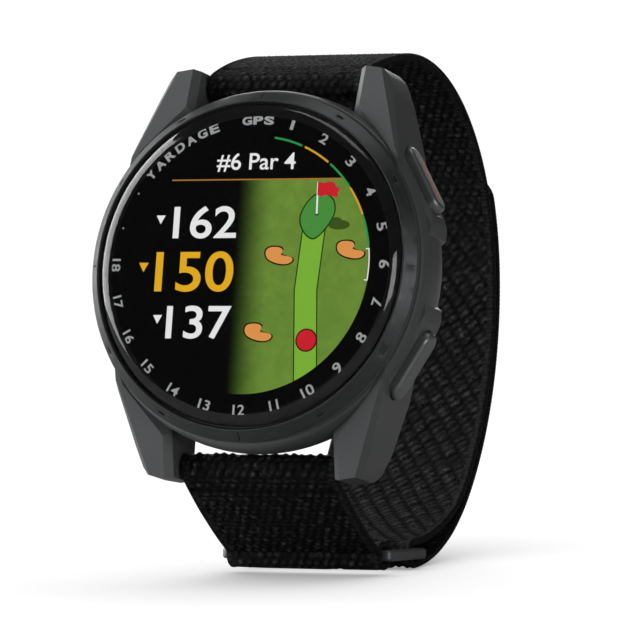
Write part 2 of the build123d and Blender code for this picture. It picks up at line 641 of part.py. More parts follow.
box = Compound([solid for shape in parts.values() for solid in shape.solids()]).bounding_box()
ORIGIN = Pos(-box.center().X, -box.center().Y, -box.min.Z)
points = {
    "dial": Vector(0, 0, 0),
    "upper_bar": upper_bar,
    "lower_bar": lower_bar,
    "ring_front_bar": (RING * Pos(0, -RING_BAR_Y, 0)).position,
    "ring_rear_bar": (RING * Pos(0, RING_BAR_Y, 0)).position,
    "fold": Vector(0, FOLD_Y, FOLD_Z),
    "tail_hinge": Vector(0, FOLD_Y + HINGE_GAP / 2, FLOOR_Z),
    "tab_hinge": Vector(0, STRAP_BACK, BACK_Z + HINGE_GAP / 2),
    "cover": (HEAD * Pos(0, 0, COVER_OUT)).position,
    "socket": (HEAD * Pos(0, SOCKET_Y, COVER_OUT)).position,
    **{name + "_button": (HEAD * Rot(0, 0, 90 - a) * Pos(CAP_OUT, 0, BUTTON_Z)).position
       for name, a in BUTTON_ANGLES.items()},
}
points = {name: (ORIGIN * Pos(*point)).position for name, point in points.items()}

os.makedirs("parts", exist_ok=True)
for node, shape in parts.items():
    export_step(ORIGIN * shape, f"parts/{node}.step")
for name, point in points.items():
    print(name, [round(value, 3) for value in point])
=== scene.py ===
"""Round golf GPS watch on its closed woven strap: the looks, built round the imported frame.

The head is dressed in its dial frame, in millimetres: X to 3 o'clock, Y to 12 o'clock, Z out of the
glass. The strap is drawn in the side view, in millimetres of depth (Y) and height (Z).
"""

from __future__ import annotations

import json
import logging
import math
from dataclasses import dataclass, field
from enum import Enum
from typing import Any, Callable, Iterable, Sequence

import bmesh
import bpy
from mathutils import Matrix, Vector

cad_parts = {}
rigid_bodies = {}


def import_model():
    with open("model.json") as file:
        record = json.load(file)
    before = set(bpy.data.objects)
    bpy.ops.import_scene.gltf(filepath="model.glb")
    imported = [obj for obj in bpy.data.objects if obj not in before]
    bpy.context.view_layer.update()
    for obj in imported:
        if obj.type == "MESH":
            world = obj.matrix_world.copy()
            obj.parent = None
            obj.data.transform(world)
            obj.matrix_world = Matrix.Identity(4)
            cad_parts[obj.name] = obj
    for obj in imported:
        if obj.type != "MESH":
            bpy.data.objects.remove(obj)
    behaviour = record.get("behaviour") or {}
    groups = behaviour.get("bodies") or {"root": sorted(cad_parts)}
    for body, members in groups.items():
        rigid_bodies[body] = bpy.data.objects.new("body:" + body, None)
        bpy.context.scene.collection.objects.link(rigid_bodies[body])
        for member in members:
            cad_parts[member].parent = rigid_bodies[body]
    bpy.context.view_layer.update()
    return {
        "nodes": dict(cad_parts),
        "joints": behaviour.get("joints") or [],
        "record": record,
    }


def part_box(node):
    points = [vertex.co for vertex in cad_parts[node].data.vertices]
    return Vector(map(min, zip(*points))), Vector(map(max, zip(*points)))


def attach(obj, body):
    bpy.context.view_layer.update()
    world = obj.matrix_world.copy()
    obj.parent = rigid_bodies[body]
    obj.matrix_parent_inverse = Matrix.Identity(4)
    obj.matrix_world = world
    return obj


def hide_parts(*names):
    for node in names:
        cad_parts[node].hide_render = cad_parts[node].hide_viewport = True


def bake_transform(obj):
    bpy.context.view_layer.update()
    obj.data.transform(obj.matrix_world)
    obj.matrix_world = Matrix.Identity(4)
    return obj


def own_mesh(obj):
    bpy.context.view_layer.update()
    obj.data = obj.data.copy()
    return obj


LOG = logging.getLogger("golf_watch")
MM = 0.001
BACKLIGHT = 0.5
Arc = tuple[float, float]
Point = tuple[float, float]


# ---------------------------------------------------------------- small helpers
def linear(hex_code: str) -> tuple[float, float, float, float]:
    """Turn an sRGB hex colour into a linear RGBA.

    Args:
        hex_code: Colour such as "#1A1B1D".

    Returns:
        Linear red, green, blue and an alpha of 1.
    """
    channels = [int(hex_code[i : i + 2], 16) / 255 for i in (1, 3, 5)]
    curved = [c / 12.92 if c <= 0.04045 else ((c + 0.055) / 1.055) ** 2.4 for c in channels]
    return (*curved, 1.0)


def add_node(tree: bpy.types.NodeTree, kind: str, inputs: dict | None = None, **settings: Any) -> Any:
    """Add a shader node with its settings and links.

    Args:
        tree: Node tree that gets the node.
        kind: Blender's name of the node type.
        inputs: Socket name or number to a value, or to another node's output to link.
        settings: Properties of the node itself.

    Returns:
        The new node.
    """
    node = tree.nodes.new(kind)
    for key, value in settings.items():
        setattr(node, key, value)
    for key, value in (inputs or {}).items():
        if isinstance(value, bpy.types.NodeSocket):
            tree.links.new(value, node.inputs[key])
        else:
            node.inputs[key].default_value = value
    return node


def link_mesh(name: str, bm: bmesh.types.BMesh, place: Matrix, smooth_angle: float = 35.0) -> bpy.types.Object:
    """Turn a bmesh into an object at the origin, with its place in its mesh.

    Args:
        name: Name of the piece.
        bm: The shape, which is freed.
        place: Moves the shape into the row frame.
        smooth_angle: Edges sharper than this many degrees stay sharp.

    Returns:
        The new object.
    """
    bm.transform(place)
    bmesh.ops.recalc_face_normals(bm, faces=bm.faces)
    mesh = bpy.data.meshes.new(name)
    bm.to_mesh(mesh)
    bm.free()
    mesh.polygons.foreach_set("use_smooth", [True] * len(mesh.polygons))
    mesh.set_sharp_from_angle(angle=math.radians(smooth_angle))
    piece = bpy.data.objects.new(name, mesh)
    bpy.context.scene.collection.objects.link(piece)
    return piece


def merge_into(target: bmesh.types.BMesh, source: bmesh.types.BMesh, place: Matrix = Matrix.Identity(4)) -> None:
    """Add a moved copy of one bmesh to another and free it."""
    source.transform(place)
    mesh = bpy.data.meshes.new("part_of_piece")
    source.to_mesh(mesh)
    source.free()
    target.from_mesh(mesh)
    bpy.data.meshes.remove(mesh)


# ---------------------------------------------------------------- finishes
@dataclass(frozen=True)
class Finish:
    """A named surface. Each kind of finish gives its own shader."""

    name: str

    def shader(self, tree: bpy.types.NodeTree) -> Any:
        """Build the shader node that the surface shows."""
        raise NotImplementedError

    def make(self) -> bpy.types.Material:
        """Make the material once, and give the same one after that."""
        known = bpy.data.materials.get(self.name)
        if known:
            return known
        material = bpy.data.materials.new(self.name)
        material.use_nodes = True
        tree = material.node_tree
        tree.nodes.clear()
        add_node(tree, "ShaderNodeOutputMaterial", {"Surface": self.shader(tree).outputs[0]})
        return material

    def dress(self, piece: bpy.types.Object) -> None:
        """Put the finish on a piece in place of what it had."""
        piece.data.materials.clear()
        piece.data.materials.append(self.make())


@dataclass(frozen=True)
class MouldedPlastic(Finish):
    """Injection-moulded polymer with a spark-eroded grain: soft broad highlights and a faint mottle."""

    tone: str = "#303234"
    shade: str = "#2A2C2E"
    roughness: float = 0.45
    grain: float = 0.28
    depth: float = 0.012

    def shader(self, tree: bpy.types.NodeTree) -> Any:
        """Mottle two close tones and raise the grain."""
        place = add_node(tree, "ShaderNodeTexCoord").outputs["Object"]
        cloud = add_node(tree, "ShaderNodeTexNoise", {"Vector": place, "Scale": 180.0, "Detail": 3.0})
        tint = add_node(
            tree,
            "ShaderNodeMix",
            {0: cloud.outputs[0], 6: linear(self.tone), 7: linear(self.shade)},
            data_type="RGBA",
        )
        grit = add_node(
            tree, "ShaderNodeTexNoise", {"Vector": place, "Scale": 1 / (self.grain * MM), "Detail": 2.0}
        )
        relief = add_node(
            tree, "ShaderNodeBump", {"Height": grit.outputs[0], "Strength": 0.5, "Distance": self.depth * MM}
        )
        return add_node(
            tree,
            "ShaderNodeBsdfPrincipled",
            {
                "Base Color": tint.outputs[2],
                "Roughness": self.roughness,
                "IOR": 1.5,
                "Normal": relief.outputs[0],
            },
        )


@dataclass(frozen=True)
class TurnedMetal(Finish):
    """Anodised aluminium brushed round the dial: fine rings that stretch the highlights along them."""

    centre: tuple[float, float, float] = (0.0, 0.0, 0.0)
    turn: float = 0.0
    tone: str = "#565758"
    shade: str = "#3C3D3E"
    roughness: float = 0.42
    line: float = 0.09

    def shader(self, tree: bpy.types.NodeTree) -> Any:
        """Stretch a noise round the dial's axis and read it as colour, gloss and relief."""
        place = add_node(tree, "ShaderNodeTexCoord").outputs["Object"]
        dial = add_node(
            tree,
            "ShaderNodeMapping",
            {"Vector": place, "Location": self.centre, "Rotation": (self.turn, 0.0, 0.0)},
            vector_type="TEXTURE",
        )
        axes = add_node(tree, "ShaderNodeSeparateXYZ", {0: dial.outputs[0]})
        angle = add_node(tree, "ShaderNodeMath", {0: axes.outputs[1], 1: axes.outputs[0]}, operation="ARCTAN2")
        flat = add_node(tree, "ShaderNodeCombineXYZ", {0: axes.outputs[0], 1: axes.outputs[1]})
        reach = add_node(tree, "ShaderNodeVectorMath", {0: flat.outputs[0]}, operation="LENGTH")
        rings = add_node(
            tree, "ShaderNodeMath", {0: reach.outputs["Value"], 1: 1 / (self.line * MM)}, operation="MULTIPLY"
        )
        layers = add_node(
            tree, "ShaderNodeMath", {0: axes.outputs[2], 1: 1 / (self.line * MM)}, operation="MULTIPLY"
        )
        round_dial = add_node(tree, "ShaderNodeMath", {0: angle.outputs[0], 1: 7.0}, operation="MULTIPLY")
        spot = add_node(
            tree,
            "ShaderNodeCombineXYZ",
            {0: round_dial.outputs[0], 1: rings.outputs[0], 2: layers.outputs[0]},
        )
        strokes = add_node(
            tree, "ShaderNodeTexNoise", {"Vector": spot.outputs[0], "Scale": 1.0, "Detail": 3.0}
        )
        tint = add_node(
            tree,
            "ShaderNodeMix",
            {0: strokes.outputs[0], 6: linear(self.tone), 7: linear(self.shade)},
            data_type="RGBA",
        )
        relief = add_node(
            tree, "ShaderNodeBump", {"Height": strokes.outputs[0], "Strength": 0.35, "Distance": 0.01 * MM}
        )
        return add_node(
            tree,
            "ShaderNodeBsdfPrincipled",
            {
                "Base Color": tint.outputs[2],
                "Metallic": 0.85,
                "Roughness": self.roughness,
                "Normal": relief.outputs[0],
            },
        )


@dataclass(frozen=True)
class SatinMetal(Finish):
    """Blasted or drawn metal: an even satin with a slight cloudiness in its gloss."""

    tone: str = "#8A8C90"
    shade: str = "#7C7E82"
    roughness: float = 0.32
    metallic: float = 1.0
    grain: tuple[float, float, float] = (0.2, 0.2, 0.2)
    depth: float = 0.006

    def shader(self, tree: bpy.types.NodeTree) -> Any:
        """Stretch a fine noise by the grain's size on each axis."""
        place = add_node(tree, "ShaderNodeTexCoord").outputs["Object"]
        size = tuple(1 / (side * MM) for side in self.grain)
        drawn = add_node(tree, "ShaderNodeMapping", {"Vector": place, "Scale": size})
        grit = add_node(
            tree, "ShaderNodeTexNoise", {"Vector": drawn.outputs[0], "Scale": 1.0, "Detail": 2.0}
        )
        cloud = add_node(tree, "ShaderNodeTexNoise", {"Vector": place, "Scale": 260.0, "Detail": 2.0})
        tint = add_node(
            tree,
            "ShaderNodeMix",
            {0: cloud.outputs[0], 6: linear(self.tone), 7: linear(self.shade)},
            data_type="RGBA",
        )
        relief = add_node(
            tree, "ShaderNodeBump", {"Height": grit.outputs[0], "Strength": 0.4, "Distance": self.depth * MM}
        )
        return add_node(
            tree,
            "ShaderNodeBsdfPrincipled",
            {
                "Base Color": tint.outputs[2],
                "Metallic": self.metallic,
                "Roughness": self.roughness,
                "Normal": relief.outputs[0],
            },
        )


@dataclass(frozen=True)
class ClearGlass(Finish):
    """Polished mineral glass: sharp reflections and a clear view through."""

    tint: str = "#FFFFFF"
    roughness: float = 0.06

    def shader(self, tree: bpy.types.NodeTree) -> Any:
        """Bend light by the glass's index, with no colour of its own."""
        place = add_node(tree, "ShaderNodeTexCoord").outputs["Object"]
        polish = add_node(tree, "ShaderNodeTexNoise", {"Vector": place, "Scale": 90.0, "Detail": 1.0})
        gloss = add_node(tree, "ShaderNodeMapRange", {"Value": polish.outputs[0], "To Max": self.roughness})
        return add_node(
            tree,
            "ShaderNodeBsdfPrincipled",
            {
                "Base Color": linear(self.tint),
                "Roughness": gloss.outputs[0],
                "IOR": 1.5,
                "Specular IOR Level": 0.14,
                "Transmission Weight": 1.0,
            },
        )


@dataclass(frozen=True)
class WovenNylon(Finish):
    """Jacquard-woven polyamide yarn: dull black with a soft sheen, random paler filaments, and painted highlight on
    the crowns with painted shade in the pits.
    """

    tone: str = "#010101"
    # Colour of the painted highlight on the yarn crowns; the pits fall towards tone as painted shade.
    crown: str = "#545557"
    thread: float = 0.26

    def shader(self, tree: bpy.types.NodeTree) -> Any:
        """Draw the filaments along the band's own UV map, which is in millimetres, and paint highlight on the crowns
        and shade in the pits by the weave's height.
        """
        flat = add_node(tree, "ShaderNodeUVMap", uv_map="along_band")
        height = add_node(tree, "ShaderNodeAttribute", attribute_name="crown")
        axes = add_node(tree, "ShaderNodeSeparateXYZ", {0: flat.outputs[0]})
        turns = 2 * math.pi / self.thread
        across = add_node(tree, "ShaderNodeMath", {0: axes.outputs[0], 1: turns}, operation="MULTIPLY")
        along = add_node(tree, "ShaderNodeMath", {0: axes.outputs[1], 1: turns}, operation="MULTIPLY")
        weft = add_node(tree, "ShaderNodeMath", {0: across.outputs[0]}, operation="SINE")
        warp = add_node(tree, "ShaderNodeMath", {0: along.outputs[0]}, operation="SINE")
        threads = add_node(
            tree, "ShaderNodeMath", {0: weft.outputs[0], 1: warp.outputs[0]}, operation="MULTIPLY"
        )
        blobs = add_node(
            tree,
            "ShaderNodeTexNoise",
            {"Vector": flat.outputs[0], "Scale": 1.7, "Detail": 6.0, "Roughness": 0.8},
        )
        fuzz = add_node(
            tree,
            "ShaderNodeMapRange",
            {"Value": blobs.outputs[0], "From Min": 0.41, "From Max": 0.6, "To Min": 0.0, "To Max": 1.5},
        )
        # Painted light: the weave's height squared lightens the crowns and darkens the pits to black, and the threads'
        # sine lightens the top of each thread; the noise adds random paler filaments.
        painted_crown_light = add_node(tree, "ShaderNodeMath", {0: height.outputs["Fac"], 1: 2.0}, operation="POWER")
        lit = add_node(
            tree,
            "ShaderNodeMapRange",
            {"Value": threads.outputs[0], "From Min": -1.0, "To Min": 0.45, "To Max": 1.45},
        )
        yarn = add_node(tree, "ShaderNodeMath", {0: lit.outputs[0], 1: fuzz.outputs[0]}, operation="MULTIPLY")
        painted_light_share = add_node(
            tree, "ShaderNodeMath", {0: painted_crown_light.outputs[0], 1: yarn.outputs[0]}, operation="MULTIPLY", use_clamp=True
        )
        tint = add_node(
            tree,
            "ShaderNodeMix",
            {0: painted_light_share.outputs[0], 6: linear(self.tone), 7: linear(self.crown)},
            data_type="RGBA",
        )
        both = add_node(tree, "ShaderNodeMath", {0: threads.outputs[0], 1: fuzz.outputs[0]}, operation="ADD")
        relief = add_node(
            tree, "ShaderNodeBump", {"Height": both.outputs[0], "Strength": 1.0, "Distance": 0.11 * MM}
        )
        return add_node(
            tree,
            "ShaderNodeBsdfPrincipled",
            {
                "Base Color": tint.outputs[2],
                "Roughness": 0.62,
                "Specular IOR Level": 0.12,
                "Sheen Weight": 0.012,
                "Sheen Roughness": 0.4,
                "Sheen Tint": linear("#C8CCD2"),
                "Normal": relief.outputs[0],
            },
        )


@dataclass(frozen=True)
class Ink(Finish):
    """Screen print or backlit ink behind the glass: an even colour with a very fine dot."""

    tone: str = "#FFFFFF"
    glow: float = 0.0
    gloss: float = 0.5

    def shader(self, tree: bpy.types.NodeTree) -> Any:
        """Print the colour with the dot of the screen, and let it glow by its own colour: light of the display for
        backlit ink, painted light for print.
        """
        place = add_node(tree, "ShaderNodeTexCoord").outputs["Object"]
        dots = add_node(tree, "ShaderNodeTexNoise", {"Vector": place, "Scale": 5000.0, "Detail": 0.0})
        colour = linear(self.tone)
        dull = tuple(0.93 * channel for channel in colour[:3]) + (1.0,)
        tint = add_node(
            tree, "ShaderNodeMix", {0: dots.outputs[0], 6: colour, 7: dull}, data_type="RGBA"
        )
        # Below BACKLIGHT the ink is print that keeps its colour, and its glow is painted light; above it the ink is
        # the display's own light.
        printed = self.glow < BACKLIGHT
        return add_node(
            tree,
            "ShaderNodeBsdfPrincipled",
            {
                "Base Color": tint.outputs[2] if printed else (0.0, 0.0, 0.0, 1.0),
                "Roughness": self.gloss,
                "Specular IOR Level": 0.1,
                "Emission Color": tint.outputs[2],
                "Emission Strength": self.glow,
            },
        )


@dataclass(frozen=True)
class LitTurf(Finish):
    """Lit map of grass: mottled green that fades into the black of the panel towards 9 o'clock."""

    centre: tuple[float, float, float] = (0.0, 0.0, 0.0)
    turn: float = 0.0
    tone: str = "#7B9E3E"
    shade: str = "#50702A"
    fade_from: float = -2.0
    fade_to: float = 3.0
    glow: float = 1.0

    def shader(self, tree: bpy.types.NodeTree) -> Any:
        """Mottle two greens and multiply them by a ramp across the dial."""
        place = add_node(tree, "ShaderNodeTexCoord").outputs["Object"]
        dial = add_node(
            tree,
            "ShaderNodeMapping",
            {"Vector": place, "Location": self.centre, "Rotation": (self.turn, 0.0, 0.0)},
            vector_type="TEXTURE",
        )
        axes = add_node(tree, "ShaderNodeSeparateXYZ", {0: dial.outputs[0]})
        fade = add_node(
            tree,
            "ShaderNodeMapRange",
            {"Value": axes.outputs[0], "From Min": self.fade_from * MM, "From Max": self.fade_to * MM},
            interpolation_type="SMOOTHSTEP",
        )
        blades = add_node(
            tree,
            "ShaderNodeTexNoise",
            {"Vector": place, "Scale": 480.0, "Detail": 7.0, "Roughness": 0.72},
        )
        turf = add_node(
            tree,
            "ShaderNodeMix",
            {0: blades.outputs[0], 6: linear(self.shade), 7: linear(self.tone)},
            data_type="RGBA",
        )
        lit = add_node(
            tree,
            "ShaderNodeMix",
            {0: fade.outputs[0], 6: (0.0, 0.0, 0.0, 1.0), 7: turf.outputs[2]},
            data_type="RGBA",
        )
        return add_node(
            tree,
            "ShaderNodeBsdfPrincipled",
            {
                "Base Color": (0.0, 0.0, 0.0, 1.0),
                "Roughness": 0.5,
                "Specular IOR Level": 0.1,
                "Emission Color": lit.outputs[2],
                "Emission Strength": self.glow,
            },
        )


@dataclass(frozen=True)
class WhiteSweep(Finish):
    """Overlit matt white paper: it keeps the soft shadow by the strap and is plain white further off."""

    shadow_reach: tuple[float, float] = (0.05, 0.12)
    shade_size: float = 0.035
    darkest: float = 0.34
    bounce: float = 0.35

    def shader(self, tree: bpy.types.NodeTree) -> Any:
        """Darken the paper where the watch stands close over it, and let plain white show elsewhere."""
        place = add_node(tree, "ShaderNodeTexCoord").outputs["Object"]
        reach = add_node(tree, "ShaderNodeVectorMath", {0: place}, operation="LENGTH")
        near = add_node(
            tree,
            "ShaderNodeMapRange",
            {
                "Value": reach.outputs["Value"],
                "From Min": self.shadow_reach[1],
                "From Max": self.shadow_reach[0],
            },
            interpolation_type="SMOOTHSTEP",
        )
        open_sky = add_node(tree, "ShaderNodeAmbientOcclusion", {"Distance": self.shade_size}, samples=16)
        shade = add_node(
            tree,
            "ShaderNodeMapRange",
            {"Value": open_sky.outputs["AO"], "From Min": 0.98, "From Max": 0.1},
        )
        amount = add_node(
            tree, "ShaderNodeMath", {0: near.outputs[0], 1: shade.outputs[0]}, operation="MULTIPLY"
        )
        clear = add_node(tree, "ShaderNodeBsdfTransparent", {"Color": (1, 1, 1, 1)})
        grey = add_node(tree, "ShaderNodeEmission", {"Color": (1, 1, 1, 1), "Strength": self.darkest})
        shown = add_node(
            tree, "ShaderNodeMixShader", {0: amount.outputs[0], 1: clear.outputs[0], 2: grey.outputs[0]}
        )
        seen = add_node(tree, "ShaderNodeLightPath")
        paper = add_node(tree, "ShaderNodeBsdfDiffuse", {"Color": (*[self.bounce] * 3, 1.0)})
        return add_node(
            tree,
            "ShaderNodeMixShader",
            {0: seen.outputs["Is Camera Ray"], 1: paper.outputs[0], 2: shown.outputs[0]},
        )


# ---------------------------------------------------------------- the dial frame
@dataclass
class DialFrame:
    """Where the dial stands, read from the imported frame."""

    record: dict
    matrix: Matrix = field(init=False)
    centre: Vector = field(init=False)
    turn: float = field(init=False)

    def __post_init__(self) -> None:
        """Find the dial's axis from the rear mount and its centre from the display panel."""
        rear = next(m for m in self.record["mounts"] if m["name"] == "rear_face")
        out = -Vector(rear["axis"]).normalized()
        across = Vector((1.0, 0.0, 0.0))
        up = out.cross(across)
        lo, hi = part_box("display_panel")
        panel_sinks = 1.0 * MM
        self.centre = (lo + hi) / 2 + out * panel_sinks
        rotation = Matrix((across, up, out)).transposed()
        self.turn = rotation.to_euler().x
        self.matrix = Matrix.Translation(self.centre) @ rotation.to_4x4() @ Matrix.Scale(MM, 4)

    @property
    def polar(self) -> dict[str, Any]:
        """Give what a finish needs to follow the dial's axis."""
        return {"centre": tuple(self.centre), "turn": self.turn}


def softened(
    node: bpy.types.Object, name: str, edge: float, finish: Finish, angle: float = 24.0, smooth: float = 60.0
) -> bpy.types.Object:
    """Copy a CAD node, merge it and round its sharp edges as a mould or a polish does.

    Args:
        node: The CAD node, which is left alone.
        name: Name of the copy.
        edge: Width of the rounded edge in millimetres.
        finish: What the copy is dressed in.
        angle: Edges that turn more than this many degrees are rounded.
        smooth: Edges that turn more than this many degrees stay sharp.

    Returns:
        The copy, with its place in its mesh.
    """
    bm = bmesh.new()
    bm.from_mesh(node.data)
    bmesh.ops.remove_doubles(bm, verts=bm.verts, dist=2e-6)
    bmesh.ops.dissolve_degenerate(bm, edges=bm.edges, dist=1e-6)
    bmesh.ops.dissolve_limit(bm, angle_limit=math.radians(0.4), verts=bm.verts, edges=bm.edges)
    sharp = [
        e for e in bm.edges if len(e.link_faces) == 2 and e.calc_face_angle(0.0) > math.radians(angle)
    ]
    bmesh.ops.bevel(
        bm,
        geom=sharp,
        offset=edge * MM,
        offset_type="OFFSET",
        segments=2,
        profile=0.5,
        affect="EDGES",
        clamp_overlap=True,
        material=-1,
    )
    bmesh.ops.triangulate(bm, faces=bm.faces)
    piece = link_mesh(name, bm, Matrix.Identity(4), smooth_angle=smooth)
    crisp = piece.modifiers.new("crisp_facets", "WEIGHTED_NORMAL")
    crisp.keep_sharp = True
    crisp.weight = 80
    finish.dress(piece)
    return piece


def biarc_points(
    start: tuple[float, float], low: tuple[float, float], high: tuple[float, float],
    end: tuple[float, float], steps: int,
) -> list[tuple[float, float]]:
    """Sample the cubic curve from one point to another through two handles.

    Args:
        start: Where the curve starts.
        low: Handle of the start.
        high: Handle of the end.
        end: Where the curve ends.
        steps: Number of spans.

    Returns:
        The points, with both ends.
    """
    points = []
    for step in range(steps + 1):
        t = step / steps
        share = ((1 - t) ** 3, 3 * t * (1 - t) ** 2, 3 * t * t * (1 - t), t**3)
        points.append(tuple(sum(k * p[i] for k, p in zip(share, (start, low, high, end))) for i in (0, 1)))
    return points


# ---------------------------------------------------------------- head
@dataclass
class Head:
    """Case, bezel, glass and buttons."""

    nodes: dict[str, bpy.types.Object]
    dial: DialFrame
    case_edge: float = 0.12
    bezel_edge: float = 0.05
    cap_edge: float = 0.05
    glass_r: float = 19.0
    glass_flat: float = 17.3
    glass_steps: int = 20
    glass_turns: int = 240

    def build(self) -> None:
        """Dress every outer piece of the head."""
        polymer = MouldedPlastic("slate_moulded_polyamide", "#505152", "#48494A", 0.42, 0.3, 0.014)
        case = softened(self.nodes["case_body"], "case_shell", self.case_edge, polymer)
        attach(case, "case")
        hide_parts("case_body")
        LOG.info("case shell %d faces", len(case.data.polygons))
        brushed = TurnedMetal("slate_brushed_aluminium", **self.dial.polar)
        bezel = softened(self.nodes["bezel_ring"], "bezel", self.bezel_edge, brushed, 12.0, 18.0)
        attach(bezel, "case")
        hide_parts("bezel_ring")
        LOG.info("bezel %d faces", len(bezel.data.polygons))
        self.glass()
        satin = SatinMetal("slate_anodised_cap", "#858687", "#757677", 0.4, 0.75)
        for name in ("upper_button", "lower_button"):
            satin.dress(self.nodes[name])
        MouldedPlastic("orange_lacquer_inlay", "#C4472C", "#B83E26", 0.35, 0.2, 0.004).dress(
            self.nodes["upper_button_accent"]
        )
        LOG.info("glass and buttons dressed")

    def glass(self) -> None:
        """Spin the lens again, finer than the frame's own facets, and polish it."""
        foot, wall, top = (self.glass_r, -0.4), (self.glass_r, -0.25), (self.glass_flat, 0.8)
        mid, drop = (18.657, 0.374), (18.012, 0.772)
        rim = biarc_points(wall, mid, drop, top, self.glass_steps)
        outline = [(0.0, -0.4), foot, *rim, (self.glass_flat - 0.12, 0.8), (0.0, 0.8)]
        bm = bmesh.new()
        chain = [bm.verts.new((r, 0.0, z)) for r, z in outline]
        edges = [bm.edges.new(pair) for pair in zip(chain, chain[1:])]
        bmesh.ops.spin(
            bm,
            geom=chain + edges,
            axis=(0.0, 0.0, 1.0),
            cent=(0.0, 0.0, 0.0),
            steps=self.glass_turns,
            angle=math.tau,
            use_merge=True,
        )
        bmesh.ops.remove_doubles(bm, verts=bm.verts, dist=1e-4)
        bmesh.ops.triangulate(bm, faces=bm.faces)
        lens = link_mesh("glass", bm, self.dial.matrix, smooth_angle=40.0)
        ClearGlass("polished_glass").dress(lens)
        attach(lens, "case")
        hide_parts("lens")


# ---------------------------------------------------------------- what shows under the glass
class Layer(Enum):
    """Depth of each printed or lit layer under the glass, in the dial frame, in millimetres."""

    MASK = -0.470
    MAP = -0.464
    EDGE = -0.458
    SHAPE = -0.452
    TOP_EDGE = -0.446
    TOP = -0.440
    TEXT = -0.434


